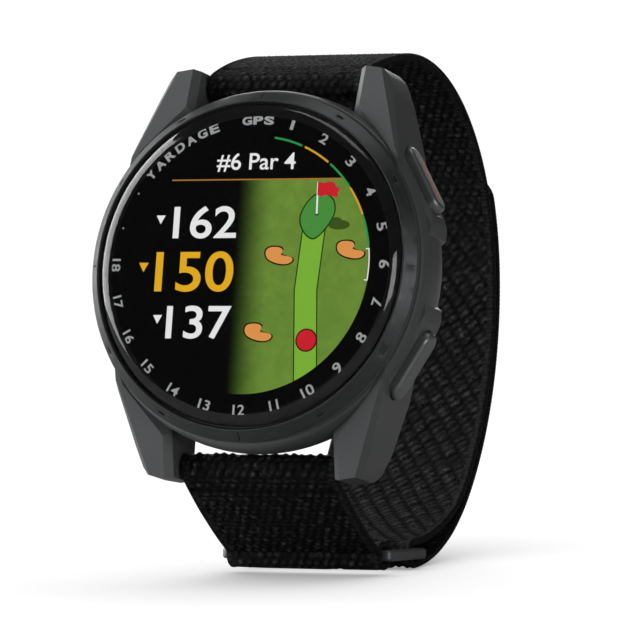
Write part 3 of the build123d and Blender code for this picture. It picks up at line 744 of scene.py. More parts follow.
@dataclass
class DialArt:
    """The printed ring and the lit picture, as thin sheets under the glass."""

    dial: DialFrame
    mask_r: float = 18.9
    lit_r: float = 15.2
    header_y: float = 10.0
    made: list[bpy.types.Object] = field(default_factory=list)

    def sheet(self, name: str, bm: bmesh.types.BMesh, layer: Layer, finish: Finish) -> bpy.types.Object:
        """Lay flat faces on a layer and dress them.

        Args:
            name: Name of the piece.
            bm: Flat faces drawn at a height of nothing.
            layer: The layer they lie on.
            finish: Their ink.

        Returns:
            The new piece.
        """
        place = self.dial.matrix @ Matrix.Translation((0, 0, layer.value))
        piece = link_mesh(name, bm, place)
        self.face_out(piece)
        finish.dress(piece)
        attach(piece, "case")
        self.made.append(piece)
        return piece

    def face_out(self, piece: bpy.types.Object) -> None:
        """Turn every face of a flat piece to look out of the glass."""
        out = self.dial.matrix.to_3x3() @ Vector((0, 0, 1))
        for polygon in piece.data.polygons:
            if polygon.normal.dot(out) < 0:
                polygon.flip()

    @staticmethod
    def disc(radius: float, x: float = 0.0, y: float = 0.0, squash: float = 1.0, turn: float = 0.0) -> bmesh.types.BMesh:
        """Draw a filled circle or ellipse."""
        bm = bmesh.new()
        bmesh.ops.create_circle(bm, cap_ends=True, segments=96, radius=radius)
        bm.transform(
            Matrix.Translation((x, y, 0))
            @ Matrix.Rotation(math.radians(turn), 4, "Z")
            @ Matrix.Diagonal((1, squash, 1, 1))
        )
        return bm

    @staticmethod
    def outline(points: Sequence[Point]) -> bmesh.types.BMesh:
        """Fill a flat outline of a few points."""
        bm = bmesh.new()
        bm.faces.new([bm.verts.new((x, y, 0)) for x, y in points])
        return bm

    @staticmethod
    def grown(bm: bmesh.types.BMesh, rim: float) -> bmesh.types.BMesh:
        """Copy a flat shape with its outline moved out by a rim."""
        wide = bm.copy()
        result = bmesh.ops.inset_region(wide, faces=wide.faces, thickness=rim, use_outset=True, use_even_offset=True)
        del result
        return wide

    def clip(self, bm: bmesh.types.BMesh, radius: float) -> bmesh.types.BMesh:
        """Cut a flat shape to a circle about the dial's middle."""
        sides = 96
        for step in range(sides):
            angle = 2 * math.pi * step / sides
            normal = Vector((math.cos(angle), math.sin(angle), 0))
            bmesh.ops.bisect_plane(
                bm,
                geom=[*bm.verts, *bm.edges, *bm.faces],
                plane_co=normal * radius,
                plane_no=normal,
                clear_outer=True,
            )
        return bm

    def arc(self, radius: float, width: float, start: float, end: float) -> bmesh.types.BMesh:
        """Draw a curved bar between two clock angles.

        Args:
            radius: Radius of the middle of the bar.
            width: Width of the bar.
            start: First angle in degrees clockwise from 12 o'clock.
            end: Last angle.

        Returns:
            The flat shape.
        """
        bm = bmesh.new()
        first = math.radians(90 - start)
        low, high = radius - width / 2, radius + width / 2
        ends = [bm.verts.new((reach * math.cos(first), reach * math.sin(first), 0)) for reach in (low, high)]
        edge = bm.edges.new(ends)
        bmesh.ops.spin(
            bm,
            geom=[*ends, edge],
            cent=(0, 0, 0),
            axis=(0, 0, 1),
            dvec=(0, 0, 0),
            angle=math.radians(start - end),
            steps=max(2, round(abs(end - start) / 1.5)),
            use_merge=False,
        )
        return bm

    def lettering(self, text: str, height: float, span: float, weight: float = 0.0) -> bmesh.types.BMesh:
        """Set generic figures as a flat mesh, centred on the origin.

        Args:
            text: The figures.
            height: Height of the figures in millimetres.
            span: Length of the line of figures.
            weight: How much bolder they are drawn, in millimetres.

        Returns:
            The flat shape.
        """
        figure_share = 0.73
        curve = bpy.data.curves.new("figures", "FONT")
        curve.body = text
        curve.size = height / figure_share
        curve.offset = weight
        curve.resolution_u = 8
        curve.align_x = "CENTER"
        holder = bpy.data.objects.new("figures", curve)
        bpy.context.scene.collection.objects.link(holder)
        bpy.context.view_layer.update()
        mesh = bpy.data.meshes.new_from_object(holder.evaluated_get(bpy.context.evaluated_depsgraph_get()))
        bm = bmesh.new()
        bm.from_mesh(mesh)
        bpy.data.objects.remove(holder)
        bpy.data.curves.remove(curve)
        bpy.data.meshes.remove(mesh)
        xs = [v.co.x for v in bm.verts]
        ys = [v.co.y for v in bm.verts]
        middle = ((min(xs) + max(xs)) / 2, (min(ys) + max(ys)) / 2)
        fit = (span / (max(xs) - min(xs)), height / (max(ys) - min(ys)))
        bm.transform(Matrix.Diagonal((*fit, 1, 1)) @ Matrix.Translation((-middle[0], -middle[1], 0)))
        return bm

    def build(self) -> None:
        """Draw the mask, the figures round it and the lit picture."""
        self.mask()
        self.hour_figures()
        self.readings()
        self.course()
        self.hole_arcs()
        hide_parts("display_adhesive")
        LOG.info("dial art in %d sheets", len(self.made))

    def mask(self) -> None:
        """Lay the black print and the dark panel inside it."""
        self.sheet("printed_mask", self.disc(self.mask_r), Layer.MASK, Ink("black_print", "#020202", 0.0, 0.3))

    def round_dial(self, target: bmesh.types.BMesh, text: str, clock: float, reach: float, height: float,
                   span: float, weight: float, top_out: bool) -> None:
        """Set figures at a clock angle, with their tops out or in.

        Args:
            target: Flat shape that the figures join.
            text: The figures.
            clock: Degrees clockwise from 12 o'clock.
            reach: Radius of the figures' middle.
            height: Height of the figures.
            span: Length of the line of figures.
            weight: How much bolder they are drawn.
            top_out: Whether their tops point away from the middle.
        """
        turn = -clock if top_out else 180 - clock
        angle = math.radians(90 - clock)
        place = Matrix.Translation((reach * math.cos(angle), reach * math.sin(angle), 0))
        place = place @ Matrix.Rotation(math.radians(turn), 4, "Z")
        merge_into(target, self.lettering(text, height, span, weight), place)

    def hour_figures(self) -> None:
        """Print the hole numbers 1 to 18, two dots and two generic words round the mask."""
        numbers = bmesh.new()
        reach, step = 17.0, 15
        for hole in range(1, 19):
            clock = hole * step
            span = {1: 0.42, 10: 1.6, 11: 1.15}.get(hole, 0.98 if hole < 10 else 1.5)
            self.round_dial(numbers, str(hole), clock, reach, 1.15, span, 0.03, clock <= 90)
        for clock in (285, 300):
            angle = math.radians(90 - clock)
            merge_into(numbers, self.disc(0.11, reach * math.cos(angle), reach * math.sin(angle)))
        # The grey print glows at 0.42: painted light on the printed figures.
        self.sheet("hole_numbers", numbers, Layer.TEXT, Ink("grey_print_painted_glow", "#C9CBCD", 0.42, 0.5))
        words = bmesh.new()
        word, first, last = "YARDAGE", 309.0, 341.0
        for place, letter in enumerate(word):
            clock = first + (last - first) * place / (len(word) - 1)
            self.round_dial(words, letter, clock, 17.05, 1.1, 1.22, 0.06, True)
        for place, letter in enumerate("GPS"):
            self.round_dial(words, letter, 360 + 4.7 * (place - 1), 17.05, 1.0, 1.25, 0.06, True)
        # The printed words glow as the figures do: painted light.
        self.sheet("generic_words", words, Layer.TEXT, Ink("grey_print_painted_glow", "#C9CBCD", 0.42, 0.5))

    def readings(self) -> None:
        """Light the three distances, their pointers and the header."""
        white = Ink("white_backlit", "#F4F4F4", 0.95)
        gold = Ink("gold_backlit", "#EDB321", 0.95)
        rows = (
            ("162", -5.9, 5.03, 3.85, 8.1, 0.06, white),
            ("150", -6.85, -0.8, 4.78, 10.0, 0.075, gold),
            ("137", -5.87, -6.78, 3.93, 8.25, 0.06, white),
        )
        for text, x, y, height, span, weight, ink in rows:
            figures = self.lettering(text, height, span, weight)
            figures.transform(Matrix.Translation((x, y, 0)))
            self.sheet(f"reading_{text}", figures, Layer.TEXT, ink)
        for name, x, y, half, ink in (
            ("pointer_far", -11.6, 5.3, 0.58, white),
            ("pointer_mid", -13.4, -0.35, 0.62, gold),
            ("pointer_near", -11.15, -6.5, 0.58, white),
        ):
            triangle = self.outline([(x - half, y + half), (x + half, y + half), (x, y - 0.8 * half)])
            self.sheet(name, triangle, Layer.TEXT, ink)
        header = self.lettering("#6 Par 4", 2.2, 10.0, 0.03)
        header.transform(Matrix.Translation((0.1, 12.1, 0)))
        self.sheet("header", header, Layer.TEXT, white)
        rule = self.outline([(-10.5, 9.97), (11.4, 9.97), (11.3, 10.13), (-10.5, 10.13)])
        self.sheet("header_rule", rule, Layer.TEXT, Ink("amber_backlit", "#B98238", 0.8))

    def course(self) -> None:
        """Light the map: turf, fairway, green, bunkers, flag and ball."""
        turf = self.disc(self.lit_r)
        for normal, reach in ((Vector((0, 1, 0)), self.header_y - 0.03), (Vector((-1, 0, 0)), 2.4)):
            bmesh.ops.bisect_plane(
                turf, geom=[*turf.verts, *turf.edges, *turf.faces], plane_co=normal * reach,
                plane_no=normal, clear_outer=True,
            )
        self.sheet("map_turf", turf, Layer.MAP, LitTurf("turf_backlit", **self.dial.polar))
        outline_ink = Ink("dark_outline_backlit", "#1F4A12", 0.9)
        fairway = [(6.64, 4.2), (6.1, -3.0), (6.86, -15.2), (9.6, -15.2), (8.78, -3.0), (9.32, 4.2)]
        line = 0.16
        wide = [(x + (line if x > 7.9 else -line), y) for x, y in fairway]
        self.sheet("fairway_edge", self.clip(self.outline(wide), self.lit_r), Layer.EDGE, outline_ink)
        self.sheet("fairway", self.clip(self.outline(fairway), self.lit_r - 0.02), Layer.SHAPE,
                   Ink("fairway_backlit", "#7FB83A", 0.95))
        shade = Ink("shadow_backlit", "#4E6B22", 0.6)
        merged = self.disc(1.35, 11.1, 4.62, 0.42)
        merge_into(merged, self.disc(0.75, 10.7, 5.1, 0.55))
        self.sheet("flag_shadow", merged, Layer.EDGE, shade)
        green = [(8.2, 8.4), (9.45, 8.2), (10.3, 7.45), (10.5, 6.1), (9.9, 4.95), (9.2, 4.0), (8.1, 2.85),
                 (7.1, 3.4), (6.45, 4.3), (6.15, 5.3), (6.35, 6.2), (7.1, 7.5)]
        self.rounded("green", green, Layer.TOP_EDGE, Layer.TOP, Ink("green_backlit", "#4B9440", 0.95), outline_ink)
        sand = Ink("sand_backlit", "#E79A52", 0.95)
        brown = Ink("sand_outline_backlit", "#24160A", 0.6)
        for number, (x, y) in enumerate(((3.75, 1.0), (12.7, 1.65), (1.75, -8.0)), start=1):
            lobes = [(-1.75, 0.45), (-1.45, 1.0), (-0.5, 1.12), (0.4, 0.95), (0.55, 0.5), (0.1, 0.12), (0.9, 0.0),
                     (1.75, -0.1), (1.85, -0.6), (1.2, -1.0), (0.2, -0.95), (-0.6, -0.75), (-1.5, -0.35)]
            outline = [(x + along, y + up) for along, up in lobes]
            self.rounded(f"bunker_{number}", outline, Layer.EDGE, Layer.SHAPE, sand, brown)
        pole = self.outline([(8.1, 5.9), (8.32, 5.9), (8.22, 9.7), (8.02, 9.7)])
        self.sheet("flag_pole", pole, Layer.TEXT, Ink("white_backlit", "#F4F4F4", 0.95))
        flag = [(8.1, 9.72), (8.9, 9.55), (9.6, 9.75), (10.2, 9.6), (10.45, 9.1), (10.95, 8.9),
                (10.7, 8.4), (10.75, 7.85), (10.0, 7.95), (9.4, 8.2), (8.7, 7.95), (8.14, 8.1)]
        self.sheet("flag", self.outline(flag), Layer.TEXT, Ink("red_backlit", "#D2222E", 0.95))
        self.sheet("hole_cup", self.disc(0.26, 8.22, 5.85, 0.5), Layer.TEXT, Ink("cup_backlit", "#1E4A1E", 0.4))
        self.sheet("ball_edge", self.disc(1.36, 7.95, -8.86), Layer.TOP_EDGE, Ink("ball_edge_backlit", "#3A0A0C", 0.6))
        self.sheet("ball", self.disc(1.2, 7.95, -8.86), Layer.TOP, Ink("red_backlit", "#D2222E", 0.95))

    def rounded(self, name: str, points: Sequence[Point], low: Layer, high: Layer, ink: Finish, edge: Finish) -> None:
        """Light a soft-cornered shape with a thin darker line round it.

        Args:
            name: Name of the piece.
            points: Outline, which the smoothing rounds.
            low: Layer of the line.
            high: Layer of the shape.
            ink: Colour of the shape.
            edge: Colour of the line.
        """
        middle = Vector((sum(p[0] for p in points), sum(p[1] for p in points))) / len(points)
        for grow, layer, finish, tail in ((0.2, low, edge, "_edge"), (0.0, high, ink, "")):
            bm = bmesh.new()
            spots = []
            for x, y in points:
                away = (Vector((x, y)) - middle).normalized() * grow
                spots.append(bm.verts.new((x + away.x, y + away.y, 0)))
            face = bm.faces.new(spots)
            for _ in range(3):
                bmesh.ops.subdivide_edges(bm, edges=bm.edges, cuts=1)
                bmesh.ops.smooth_vert(
                    bm, verts=bm.verts, factor=0.5, use_axis_x=True, use_axis_y=True
                )
            del face
            self.sheet(name + tail, bm, layer, finish)

    def hole_arcs(self) -> None:
        """Light the coloured arcs at the rim and the white bracket."""
        reach, width = 15.13, 0.24
        green, yellow = Ink("arc_green_backlit", "#2C9A4B", 0.95), Ink("arc_yellow_backlit", "#D9A52A", 0.95)
        spans = ((8.6, 22.6, green), (24.0, 37.6, yellow), (38.9, 52.6, green), (53.8, 67.4, yellow), (68.6, 81.8, green))
        for number, (start, end, ink) in enumerate(spans, start=1):
            self.sheet(f"rim_arc_{number}", self.arc(reach, width, start, end), Layer.TEXT, ink)
        bracket = self.arc(15.16, 0.14, 82.9, 97.3)
        for clock in (83.1, 97.1):
            merge_into(bracket, self.arc(15.0, 0.46, clock - 0.25, clock + 0.25))
        self.sheet("rim_bracket", bracket, Layer.TEXT, Ink("white_backlit", "#F4F4F4", 0.95))


# ---------------------------------------------------------------- strap
def biarc(start: Point, heading: float, end: Point, end_heading: float, share: float) -> list[Arc]:
    """Join two points with two tangent arcs.

    Args:
        start: First point in the side view.
        heading: Direction there in degrees.
        end: Last point.
        end_heading: Direction there.
        share: Part of the whole turn that the first arc makes.

    Returns:
        Radius and turn in degrees of each arc.
    """
    first, last = math.radians(heading), math.radians(end_heading)
    middle = first + share * (last - first)
    a, b = math.sin(middle) - math.sin(first), math.sin(last) - math.sin(middle)
    c, d = math.cos(first) - math.cos(middle), math.cos(middle) - math.cos(last)
    dy, dz = end[0] - start[0], end[1] - start[1]
    scale = a * d - b * c
    bends = ((dy * d - dz * b) / scale, (a * dz - c * dy) / scale)
    turns = (math.degrees(middle - first), math.degrees(last - middle))
    return [(abs(bend), turn) for bend, turn in zip(bends, turns)]


@dataclass
class Path:
    """A chain of tangent arcs in the side view."""

    start: Point
    heading: float
    arcs: list[Arc]

    @property
    def length(self) -> float:
        """Length along the chain in millimetres."""
        return sum(bend * math.radians(abs(turn)) for bend, turn in self.arcs)

    def at(self, along: float) -> tuple[float, float, float]:
        """Depth, height and heading in radians at a length along the chain."""
        y, z, angle = self.start[0], self.start[1], math.radians(self.heading)
        for index, (bend, turn) in enumerate(self.arcs):
            size = bend * math.radians(abs(turn))
            part = min(along, size) if index < len(self.arcs) - 1 else along
            side = 1.0 if turn > 0 else -1.0
            swept = side * part / bend
            y += side * bend * (math.sin(angle + swept) - math.sin(angle))
            z -= side * bend * (math.cos(angle + swept) - math.cos(angle))
            angle += swept
            along -= part
            if along <= 1e-9:
                break
        return y, z, angle

    @property
    def end(self) -> tuple[Point, float]:
        """Last point and the heading there in degrees."""
        y, z, angle = self.at(self.length)
        return (y, z), math.degrees(angle)


class Weave(Enum):
    """Patterns that the jacquard loom gives a face of the webbing."""

    KNIT = "knit"
    TWILL = "twill"
    RIB = "rib"


def cell_share(row: int, column: int) -> float:
    """Give each yarn float its own share of height, the same on each run."""
    value = math.sin(row * 12.9898 + column * 78.233) * 43758.5453
    return value - math.floor(value)


def float_height(line: float, place: float, stagger: float, lean: float) -> float:
    """Height of one yarn float among staggered rows of them.

    Args:
        line: Place across the rows, in rows.
        place: Place along a row, in floats.
        stagger: How far each row is moved along the one before.
        lean: How far a float leans, to the other side in each second row.

    Returns:
        The height's share, with a size and a place of its own for each float.
    """
    row = round(line)
    shifted = place + stagger * row
    column = round(shifted)
    own = cell_share(row, column)
    a = shifted - column + 0.22 * (own - 0.5)
    b = line - row + (lean if row % 2 else -lean) * a
    high = max(0.0, math.cos(math.pi * max(-0.5, min(0.5, a)))) ** 0.7
    wide = max(0.0, math.cos(math.pi * max(-0.5, min(0.5, b)))) ** 0.7
    return (0.35 + 0.65 * cell_share(column, row + 7)) * high * wide


def crown_of(weave: Weave, across: float, along: float) -> float:
    """Height of the weave from 0 in a pit to 1 on a yarn's crown.

    Args:
        weave: Pattern of this face.
        across: Millimetres from the middle of the band.
        along: Millimetres along the band.

    Returns:
        The height's share.
    """
    if weave is Weave.TWILL:
        lean, ridge_pitch, float_pitch = math.radians(36), 1.75, 0.86
        ridge = (across * math.cos(lean) - along * math.sin(lean)) / ridge_pitch
        down = (across * math.sin(lean) + along * math.cos(lean)) / float_pitch
        return float_height(ridge, down, 0.5, 0.0) ** 0.8
    if weave is Weave.RIB:
        rib_pitch, cord_pitch = 0.66, 0.9
        ribs = 0.5 + 0.5 * math.cos(2 * math.pi * along / rib_pitch)
        cords = 0.5 + 0.5 * math.cos(2 * math.pi * (across / cord_pitch + 0.5 * round(along / rib_pitch)))
        return 0.25 + 0.75 * ribs * (0.35 + 0.65 * cords)
    row_pitch, float_pitch = 0.86, 1.1
    return float_height(along / row_pitch, across / float_pitch, 0.37, 0.35)


@dataclass
class Band:
    """A strip of woven webbing swept along a path."""

    path: Path
    width: float = 20.0
    thickness: float = 1.0
    outer: Weave = Weave.KNIT
    inner: Weave = Weave.TWILL
    outer_side: int = 1
    step: float = 0.26
    corner: float = 0.42
    relief: float = 0.42
    selvage: float = 1.15
    seams: tuple[float, ...] = ()
    turn_over: tuple[float, float] | None = None
    knit_until: float = 0.0
    thin_end: float = 0.0
    round_end: float = 0.0

    def ring_point(self, share: float) -> tuple[float, float, float, float, bool]:
        """Walk round the band's section.

        Args:
            share: Part of the whole way round, from 0 to 1.

        Returns:
            Place across, place through, the outward direction's two parts, and whether it is a flat face.
        """
        flat = self.width - 2 * self.corner
        side = self.thickness - 2 * self.corner
        bend = math.pi / 2 * self.corner
        way = share * (2 * flat + 2 * side + 4 * bend)
        half_w, half_t = self.width / 2, self.thickness / 2
        runs = ((flat, 90.0), (bend, None), (side, 0.0), (bend, None), (flat, -90.0), (bend, None), (side, 180.0), (bend, None))
        x, n, heading = -flat / 2, half_t, 0.0
        for size, normal in runs:
            part = min(way, size)
            if normal is None:
                turn = part / self.corner
                x += self.corner * (math.sin(heading + turn) - math.sin(heading))
                n += self.corner * (math.cos(heading + turn) - math.cos(heading))
                heading += turn
            else:
                x += part * math.cos(heading)
                n -= part * math.sin(heading)
            if way <= size:
                return x, n, math.sin(heading), math.cos(heading), normal in (90.0, -90.0)
            way -= size
        return -flat / 2, half_t, 0.0, 1.0, True

    def crown(self, across: float, through: float, along: float, flat: bool) -> float:
        """Height share of the weave at a place on the surface."""
        if not flat:
            return 0.45 + 0.2 * math.cos(2 * math.pi * along / 0.5)
        outside = through * self.outer_side > 0
        weave = self.outer if outside else self.inner
        if outside and along < self.knit_until:
            weave = Weave.KNIT
        height = crown_of(weave, across, along)
        if not outside and self.turn_over:
            first, last = self.turn_over
            share = max(0.0, min(1.0, (along - first) / (last - first)))
            height = share * height + (1 - share) * crown_of(Weave.KNIT, across, along)
        edge = (self.width / 2 - abs(across)) / self.selvage
        if edge < 1.0:
            plain = 0.5 + 0.16 * math.cos(2 * math.pi * along / 0.5)
            blend = max(0.0, min(1.0, (edge - 0.8) / 0.2))
            height = plain + (height - plain) * blend
        for seam in self.seams:
            height -= 1.1 * math.exp(-(((along - seam) / 0.22) ** 2))
        return max(0.0, height)

    def mesh(self) -> bmesh.types.BMesh:
        """Bend a grid round the section and along the path, with the weave raised on it."""
        length = self.path.length
        around = round((2 * self.width + 2 * self.thickness) / self.step)
        lengthwise = max(4, round(length / self.step))
        bm = bmesh.new()
        bmesh.ops.create_grid(bm, x_segments=around, y_segments=lengthwise, size=0.5)
        flat_map = bm.loops.layers.uv.new("along_band")
        crowns = bm.verts.layers.float.new("crown")
        way_round = 2 * self.width + 2 * self.thickness
        for face in bm.faces:
            for loop in face.loops:
                spot = loop.vert.co
                loop[flat_map].uv = ((spot.x + 0.5) * way_round, (spot.y + 0.5) * length)
        section = {}
        stations = {}
        for vert in bm.verts:
            key = round((vert.co.x + 0.5) * around)
            row = round((vert.co.y + 0.5) * lengthwise)
            if key not in section:
                section[key] = self.ring_point(key / around)
            if row not in stations:
                stations[row] = self.path.at(row / lengthwise * length)
            x, n, out_x, out_n, flat = section[key]
            y, z, angle = stations[row]
            along = row / lengthwise * length
            height = self.crown(x, n, along, flat)
            sink = self.relief * (height - 1.0) if flat else 0.3 * self.relief * (height - 1.0)
            x, n = x + out_x * sink, n + out_n * sink
            if self.thin_end and length - along < self.thin_end:
                left = (length - along) / self.thin_end
                n *= 0.45 + 0.55 * math.sqrt(max(0.0, 1 - (1 - left) ** 2))
            if self.round_end and length - along < self.round_end:
                left = 1 - (length - along) / self.round_end
                x *= 1 - self.round_end / self.width * 2 * (1 - math.sqrt(max(0.0, 1 - left * left)))
            # The weave's height is kept for the nylon's shader, which paints highlight on the crowns and shade in the
            # pits from it.
            vert[crowns] = height
            vert.co = (x, y - n * math.sin(angle), z + n * math.cos(angle))
        bmesh.ops.remove_doubles(bm, verts=bm.verts, dist=0.004)
        rims = [edge for edge in bm.edges if edge.is_boundary]
        bmesh.ops.holes_fill(bm, edges=rims, sides=0)
        return bm


@dataclass
class Strap:
    """The two halves of the strap, their loops, the fold and the tail, on their CAD places."""

    joints: list[dict]
    thickness: float = 1.0
    gap: float = 0.3
    ring_t: float = 1.3
    ring_bar: float = 1.9
    fold_clear: float = 0.2
    tunnel_wall: float = 0.95
    ring_tilt: float = -3.3
    bed: WovenNylon = WovenNylon("black_jacquard_nylon")

    def bar(self, node: str) -> Point:
        """Middle of a spring bar in the side view, in millimetres."""
        lo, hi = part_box(node)
        return ((lo.y + hi.y) / 2 / MM, (lo.z + hi.z) / 2 / MM)

    def pivot(self, name: str) -> Point:
        """A joint's place in the side view, in millimetres."""
        joint = next(j for j in self.joints if j["name"] == name)
        return (joint["pos_m"][1] / MM, joint["pos_m"][2] / MM)

    def beside(self, point: Point, heading: float, distance: float) -> Point:
        """Move a point to the left of a heading."""
        angle = math.radians(heading)
        return (point[0] - distance * math.sin(angle), point[1] + distance * math.cos(angle))

    def build(self) -> None:
        """Weave every piece of the strap and hang the two halves and the hook tape on their bodies."""
        upper = self.upper_path()
        loop_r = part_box("upper_strap")[1].x / MM
        del loop_r
        self.upper(upper)
        self.tail()
        self.lower()

    def finish_piece(self, piece: bpy.types.Object, nodes: Iterable[str]) -> None:
        """Dress a woven piece, hide the CAD nodes that it stands for and log its faces."""
        self.bed.dress(piece)
        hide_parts(*nodes)
        LOG.info("%s %d faces", piece.name, len(piece.data.polygons))

    def loop_r(self) -> float:
        """Radius of the webbing's middle line round a spring bar."""
        lo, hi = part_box("upper_bar_tube")
        return (hi.z - lo.z) / MM / 2 + 1.1 - self.thickness / 2

    def upper_path(self) -> Path:
        """Wrap of the upper spring bar, over the crest, down the back and round the ring."""
        bar = self.bar("upper_bar_tube")
        lo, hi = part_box("upper_strap")
        half = self.thickness / 2
        back_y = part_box("strap_tail")[1].y / MM - half
        back_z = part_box("strap_tail")[1].z / MM
        step = self.thickness + self.gap
        heading, wrap = 17.0, 262.0
        reach = self.loop_r()
        start = self.beside(bar, heading, reach)
        crest = (bar[0] + 13.44, hi.z / MM - half)
        inner_back = (back_y - step, back_z)
        fold = self.fold()
        tail_start = (fold[0] + 0.1, fold[1] - self.fold_mid())
        tail = biarc(tail_start, 0, (back_y, back_z), 90, 0.49)
        over = [*biarc(start, heading, crest, 0, 0.5), *biarc(crest, 0, inner_back, -90, 0.48)]
        beside_tail = [(tail[1][0] - step, -tail[1][1])]
        low = Path(inner_back, -90, beside_tail).end
        fold_top = (fold[0], fold[1] + self.fold_mid())
        wrap_start = self.beside(bar, heading + wrap, reach)
        arcs = [
            (reach, -wrap),
            *over,
            *beside_tail,
            *biarc(low[0], low[1], fold_top, -180, 0.5),
            (self.fold_mid(), 180),
        ]
        return Path(wrap_start, heading + wrap, arcs)

    def fold_mid(self) -> float:
        """Radius of the webbing's middle line round the ring's rear bar."""
        return self.ring_t / 2 + self.fold_clear + self.thickness / 2

    def fold(self) -> Point:
        """Centre of the fold in the side view."""
        hinge = self.pivot("tail_peel")
        return (hinge[0] - 0.05, hinge[1] + self.fold_mid() + self.thickness / 2)

    def upper(self, path: Path) -> None:
        """Weave the upper half, with its wrap, seam and fold."""
        seam = self.loop_r() * math.radians(262.0) + 2.2
        down_the_back = (path.length * 0.42, path.length * 0.58)
        band = Band(
            path, outer=Weave.RIB, inner=Weave.TWILL, seams=(seam,), step=0.25, turn_over=down_the_back,
            knit_until=seam,
        )
        piece = link_mesh("upper_strap_web", band.mesh(), Matrix.Scale(MM, 4), 75.0)
        self.finish_piece(piece, ["upper_strap"])
        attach(piece, "upper_strap")

    def tail(self) -> None:
        """Weave the folded tail and its pull tab, and set the hooks behind the tab."""
        fold, half = self.fold(), self.thickness / 2
        back_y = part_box("strap_tail")[1].y / MM - half
        back_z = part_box("strap_tail")[1].z / MM
        start = (fold[0], fold[1] - self.fold_mid())
        path = Path(start, 0, biarc(start, 0, (back_y, back_z), 90, 0.49))
        band = Band(path, outer=Weave.KNIT, inner=Weave.TWILL, outer_side=-1)
        piece = link_mesh("strap_tail_web", band.mesh(), Matrix.Scale(MM, 4), 75.0)
        self.finish_piece(piece, ["strap_tail"])
        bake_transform(piece)
        lo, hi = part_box("strap_tab")
        turn = math.radians(25.0)
        rise = (hi.z - lo.z) / MM
        bend = (rise + half * 0) / math.sin(turn)
        tab_path = Path((back_y, back_z), 90, [(bend, 25.0)])
        tab = Band(
            tab_path, outer=Weave.KNIT, inner=Weave.RIB, outer_side=-1, thin_end=1.6, round_end=3.2,
            seams=(1.4, tab_path.length - 2.4),
        )
        piece = link_mesh("strap_tab_web", tab.mesh(), Matrix.Scale(MM, 4), 75.0)
        self.finish_piece(piece, ["strap_tab"])
        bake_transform(piece)
        self.hooks(tab_path)

    def hooks(self, tab: Path) -> None:
        """Set the patch of moulded hooks behind the tab."""
        bm = bmesh.new()
        width, pitch, height = 16.0, 0.8, 0.17
        length = tab.length - 3.0
        rows, columns = round(length / pitch), round(width / pitch)
        bmesh.ops.create_grid(bm, x_segments=columns * 2, y_segments=rows * 2, size=0.5)
        for vert in bm.verts:
            across = round((vert.co.x + 0.5) * columns * 2)
            row = round((vert.co.y + 0.5) * rows * 2)
            along = 1.6 + length * row / (rows * 2)
            y, z, angle = tab.at(along)
            lift = self.thickness / 2 + (height if across % 2 and row % 2 else 0.03)
            vert.co = (width * (across / (columns * 2) - 0.5), y - lift * math.sin(angle), z + lift * math.cos(angle))
        piece = link_mesh("hook_tape", bm, Matrix.Scale(MM, 4), 20.0)
        MouldedPlastic("black_hook_tape", "#151516", "#0E0E0F", 0.5, 0.3, 0.02).dress(piece)
        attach(piece, "tab")
        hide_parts("hook_patch")

    def lower(self) -> None:
        """Weave the lower half from its spring bar to the tunnel round the ring's front bar."""
        bar, ring = self.bar("lower_bar_tube"), self.pivot("ring_tilt")
        heading, wrap = -44.0, 262.0
        reach = self.loop_r()
        start = self.beside(bar, heading, -reach)
        end = (ring[0] - self.ring_bar / 2 - 0.35, ring[1] + 0.35)
        wrap_start = self.beside(bar, heading - wrap, -reach)
        arcs = [(reach, wrap), *biarc(start, heading, end, -32, 0.5), (2.6, 28)]
        path = Path(wrap_start, heading - wrap, arcs)
        seam = reach * math.radians(wrap) + 1.9
        band = Band(path, outer=Weave.KNIT, inner=Weave.TWILL, outer_side=-1, seams=(seam,))
        bm = band.mesh()
        wall = self.tunnel_wall
        radius = self.ring_t / 2 + self.fold_clear + wall / 2
        straight = self.ring_bar - self.ring_t
        turn = math.radians(self.ring_tilt)
        centre = (ring[0] + straight / 2 * math.cos(turn), ring[1] + straight / 2 * math.sin(turn))
        begin = (centre[0] + radius * math.sin(turn), centre[1] - radius * math.cos(turn))
        flat_bend = 400.0
        tilt = math.degrees(straight / flat_bend)
        tunnel = Path(begin, self.ring_tilt, [(radius, 180 - tilt), (flat_bend, tilt), (radius, 180 - tilt), (flat_bend, tilt)])
        sleeve = Band(tunnel, thickness=wall, corner=0.4, outer=Weave.KNIT, inner=Weave.RIB, outer_side=-1, relief=0.3)
        merge_into(bm, sleeve.mesh())
        piece = link_mesh("lower_strap_web", bm, Matrix.Scale(MM, 4), 75.0)
        self.finish_piece(piece, ["lower_strap"])
        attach(piece, "lower_strap")


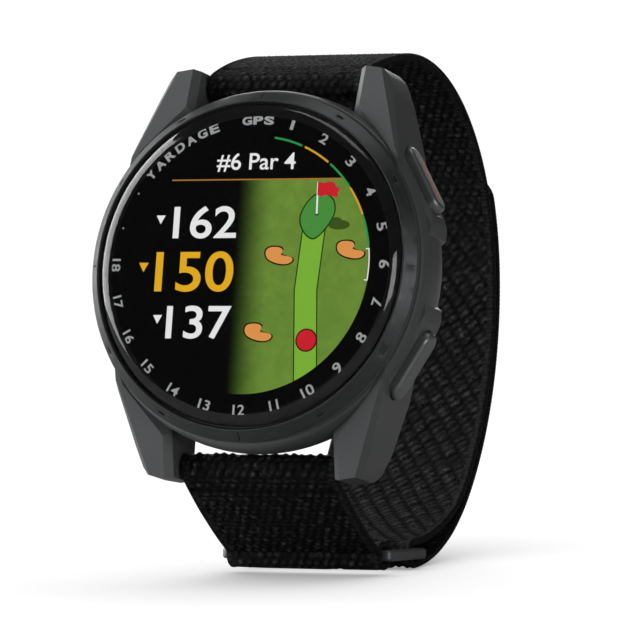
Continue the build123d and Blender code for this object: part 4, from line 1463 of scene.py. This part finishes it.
# ---------------------------------------------------------------- pieces inside and small hardware
@dataclass
class Hardware:
    """Finishes of the CAD pieces that stay as they are."""

    nodes: dict[str, bpy.types.Object]
    joints: list[dict]

    def build(self) -> None:
        """Dress the ring, bars, rear cover, electronics and seals."""
        drawn = SatinMetal("drawn_spring_steel", "#B4B6BA", "#A4A6AA", 0.28, 1.0, (1.2, 0.12, 0.12))
        ring = SatinMetal("grey_plated_ring", "#68696B", "#5C5D5F", 0.46, 0.6, (0.9, 0.14, 0.14))
        rear = MouldedPlastic("black_rear_polymer", "#17181A", "#121314", 0.4, 0.3, 0.012)
        inside = MouldedPlastic("black_inner_plastic", "#1C1C1E", "#161617", 0.5, 0.3, 0.01)
        mask = MouldedPlastic("green_solder_mask", "#12452A", "#0F3C24", 0.35, 0.5, 0.01)
        film = MouldedPlastic("polyimide_film", "#A8621C", "#96540F", 0.3, 0.5, 0.004)
        rubber = MouldedPlastic("silicone_seal", "#121213", "#0D0D0E", 0.65, 0.3, 0.01)
        foam = MouldedPlastic("closed_cell_foam", "#1F1F22", "#141416", 0.9, 0.45, 0.12)
        foil = SatinMetal("pouch_foil", "#B9BABD", "#A9AAAE", 0.38, 0.9, (0.8, 0.8, 0.8), 0.03)
        plated = SatinMetal("gold_plated_contact", "#D9B25A", "#C7A04A", 0.25, 1.0)
        panel = Ink("black_panel_glass", "#040405", 0.0, 0.15)
        tinted = MouldedPlastic("smoked_sensor_glass", "#0A0A0C", "#08080A", 0.08, 2.0, 0.001)
        plan = {
            drawn: ("upper_bar_tube", "lower_bar_tube", "upper_bar_plunger", "lower_bar_plunger",
                    "upper_bar_spring", "lower_bar_spring", "case_screws", "shield_can", "vibration_motor",
                    "upper_button_clip", "lower_button_clip"),
            ring: ("strap_ring",),
            rear: ("rear_cover",),
            inside: ("chassis", "display_socket", "board_chips", "upper_button_switch",
                     "lower_button_switch", "sensor_diodes", "charge_socket"),
            mask: ("main_board", "sensor_board"),
            film: ("display_flex",),
            rubber: ("rear_cover_seal", "upper_button_seal", "lower_button_seal", "lens_adhesive"),
            foam: ("battery_foam",),
            foil: ("battery",),
            plated: ("charge_pins", "antenna_band"),
            panel: ("display_panel",),
            tinted: ("sensor_window",),
        }
        for finish, names in plan.items():
            for name in names:
                finish.dress(self.nodes[name])
        for side in ("upper", "lower"):
            self.spring(side, drawn)
        LOG.info("hardware dressed in %d finishes", len(plan))

    def spring(self, side: str, finish: Finish) -> None:
        """Give a spring bar's coil a copy of its own, hung on the strap half's body.

        Args:
            side: "upper" or "lower".
            finish: The wire's finish.
        """
        name = f"{side}_bar_spring"
        bm = bmesh.new()
        bm.from_mesh(self.nodes[name].data)
        bmesh.ops.remove_doubles(bm, verts=bm.verts, dist=2e-6)
        coil = link_mesh(f"{side}_bar_coil", bm, Matrix.Identity(4), 45.0)
        finish.dress(coil)
        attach(coil, f"{side}_strap")
        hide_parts(name)
        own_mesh(coil)


# ---------------------------------------------------------------- studio
@dataclass
class Softbox:
    """A rectangular studio light that looks at the watch."""

    name: str
    place: tuple[float, float, float]
    size: tuple[float, float]
    watts: float
    mirrored: bool = True


@dataclass
class Studio:
    """Pale floor, soft lights and the camera."""

    dial: DialFrame
    distance: float = 0.6
    azimuth: float = 23.75
    elevation: float = -8.70
    roll: float = 3.82
    shift_right: float = 8.30
    shift_up: float = -6.42
    lens: float = 291.2
    boxes: tuple[Softbox, ...] = (
        Softbox("key_left", (-0.86, -0.12, 0.27), (1.10, 0.90), 17.0),
        Softbox("low_front", (-0.60, -0.62, 0.07), (0.34, 0.12), 3.8, mirrored=False),
        Softbox("strip_right", (0.66, -0.45, 0.12), (0.40, 0.40), 2.4),
        Softbox("top_back", (0.10, 0.15, 0.85), (0.55, 0.35), 1.0),
        Softbox("back_fill", (-0.35, 0.85, 0.35), (0.60, 0.50), 5.0),
    )

    def build(self) -> None:
        """Set up floor, lights and camera."""
        self.floor()
        self.lights()
        self.camera()

    def floor(self) -> None:
        """Lay a large matt white sheet under the strap."""
        bm = bmesh.new()
        bmesh.ops.create_grid(bm, x_segments=8, y_segments=8, size=6.0)
        piece = link_mesh("floor", bm, Matrix.Translation((0, 0, -0.00002)))
        WhiteSweep("matt_white_sweep").dress(piece)

    def lights(self) -> None:
        """Hang the softboxes and light the room evenly."""
        target = Vector((0.0, 0.0, 0.03))
        for box in self.boxes:
            lamp = bpy.data.lights.new(box.name, "AREA")
            lamp.shape = "RECTANGLE"
            lamp.size, lamp.size_y = box.size
            lamp.energy = box.watts
            holder = bpy.data.objects.new(box.name, lamp)
            holder.location = box.place
            holder.visible_transmission = False
            holder.visible_glossy = box.mirrored
            holder.rotation_euler = (Vector(box.place) - target).to_track_quat("Z", "Y").to_euler()
            bpy.context.scene.collection.objects.link(holder)
        world = bpy.data.worlds.new("white_studio")
        bpy.context.scene.world = world
        world.use_nodes = True
        tree = world.node_tree
        tree.nodes.clear()
        seen = add_node(tree, "ShaderNodeLightPath")
        dim = add_node(tree, "ShaderNodeBackground", {"Color": (1, 1, 1, 1), "Strength": 0.03})
        bright = add_node(tree, "ShaderNodeBackground", {"Color": (1, 1, 1, 1), "Strength": 1.05})
        room = add_node(
            tree, "ShaderNodeMixShader", {0: seen.outputs["Is Camera Ray"], 1: dim.outputs[0], 2: bright.outputs[0]}
        )
        add_node(tree, "ShaderNodeOutputWorld", {"Surface": room.outputs[0]})

    def camera(self) -> None:
        """Place the camera by its angles in the head's own upright frame."""
        a, e, r = (math.radians(v) for v in (self.azimuth, self.elevation, self.roll))
        right = Vector((math.cos(a), math.sin(a), 0))
        back = Vector((math.sin(a) * math.cos(e), -math.cos(a) * math.cos(e), math.sin(e)))
        up = back.cross(right)
        rolled_right = math.cos(r) * right + math.sin(r) * up
        rolled_up = math.cos(r) * up - math.sin(r) * right
        place = back * self.distance + (rolled_right * self.shift_right + rolled_up * self.shift_up) * MM
        rotation = self.dial.matrix.to_3x3().normalized()
        upright = rotation @ Matrix(((1, 0, 0), (0, 0, 1), (0, -1, 0)))
        basis = Matrix((rolled_right, rolled_up, back)).transposed()
        data = bpy.data.cameras.new("camera")
        data.lens = self.lens
        data.sensor_width = 36.0
        data.clip_start, data.clip_end = 0.01, 20.0
        holder = bpy.data.objects.new("camera", data)
        holder.matrix_world = Matrix.Translation(self.dial.centre + upright @ place) @ (upright @ basis).to_4x4()
        bpy.context.scene.collection.objects.link(holder)
        bpy.context.scene.camera = holder
        bpy.context.scene.view_settings.view_transform = "Standard"


# ---------------------------------------------------------------- all together
def main() -> None:
    """Build the watch's looks."""
    logging.basicConfig(level=logging.INFO, format="%(name)s %(message)s")
    for leftover in list(bpy.data.objects):
        bpy.data.objects.remove(leftover)
    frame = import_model()
    nodes = frame["nodes"]
    dial = DialFrame(frame["record"])
    Hardware(nodes, frame["joints"]).build()
    Head(nodes, dial).build()
    DialArt(dial).build()
    Strap(frame["joints"]).build()
    Studio(dial).build()
    LOG.info("boxes written")


if __name__ == "__main__":
    main()
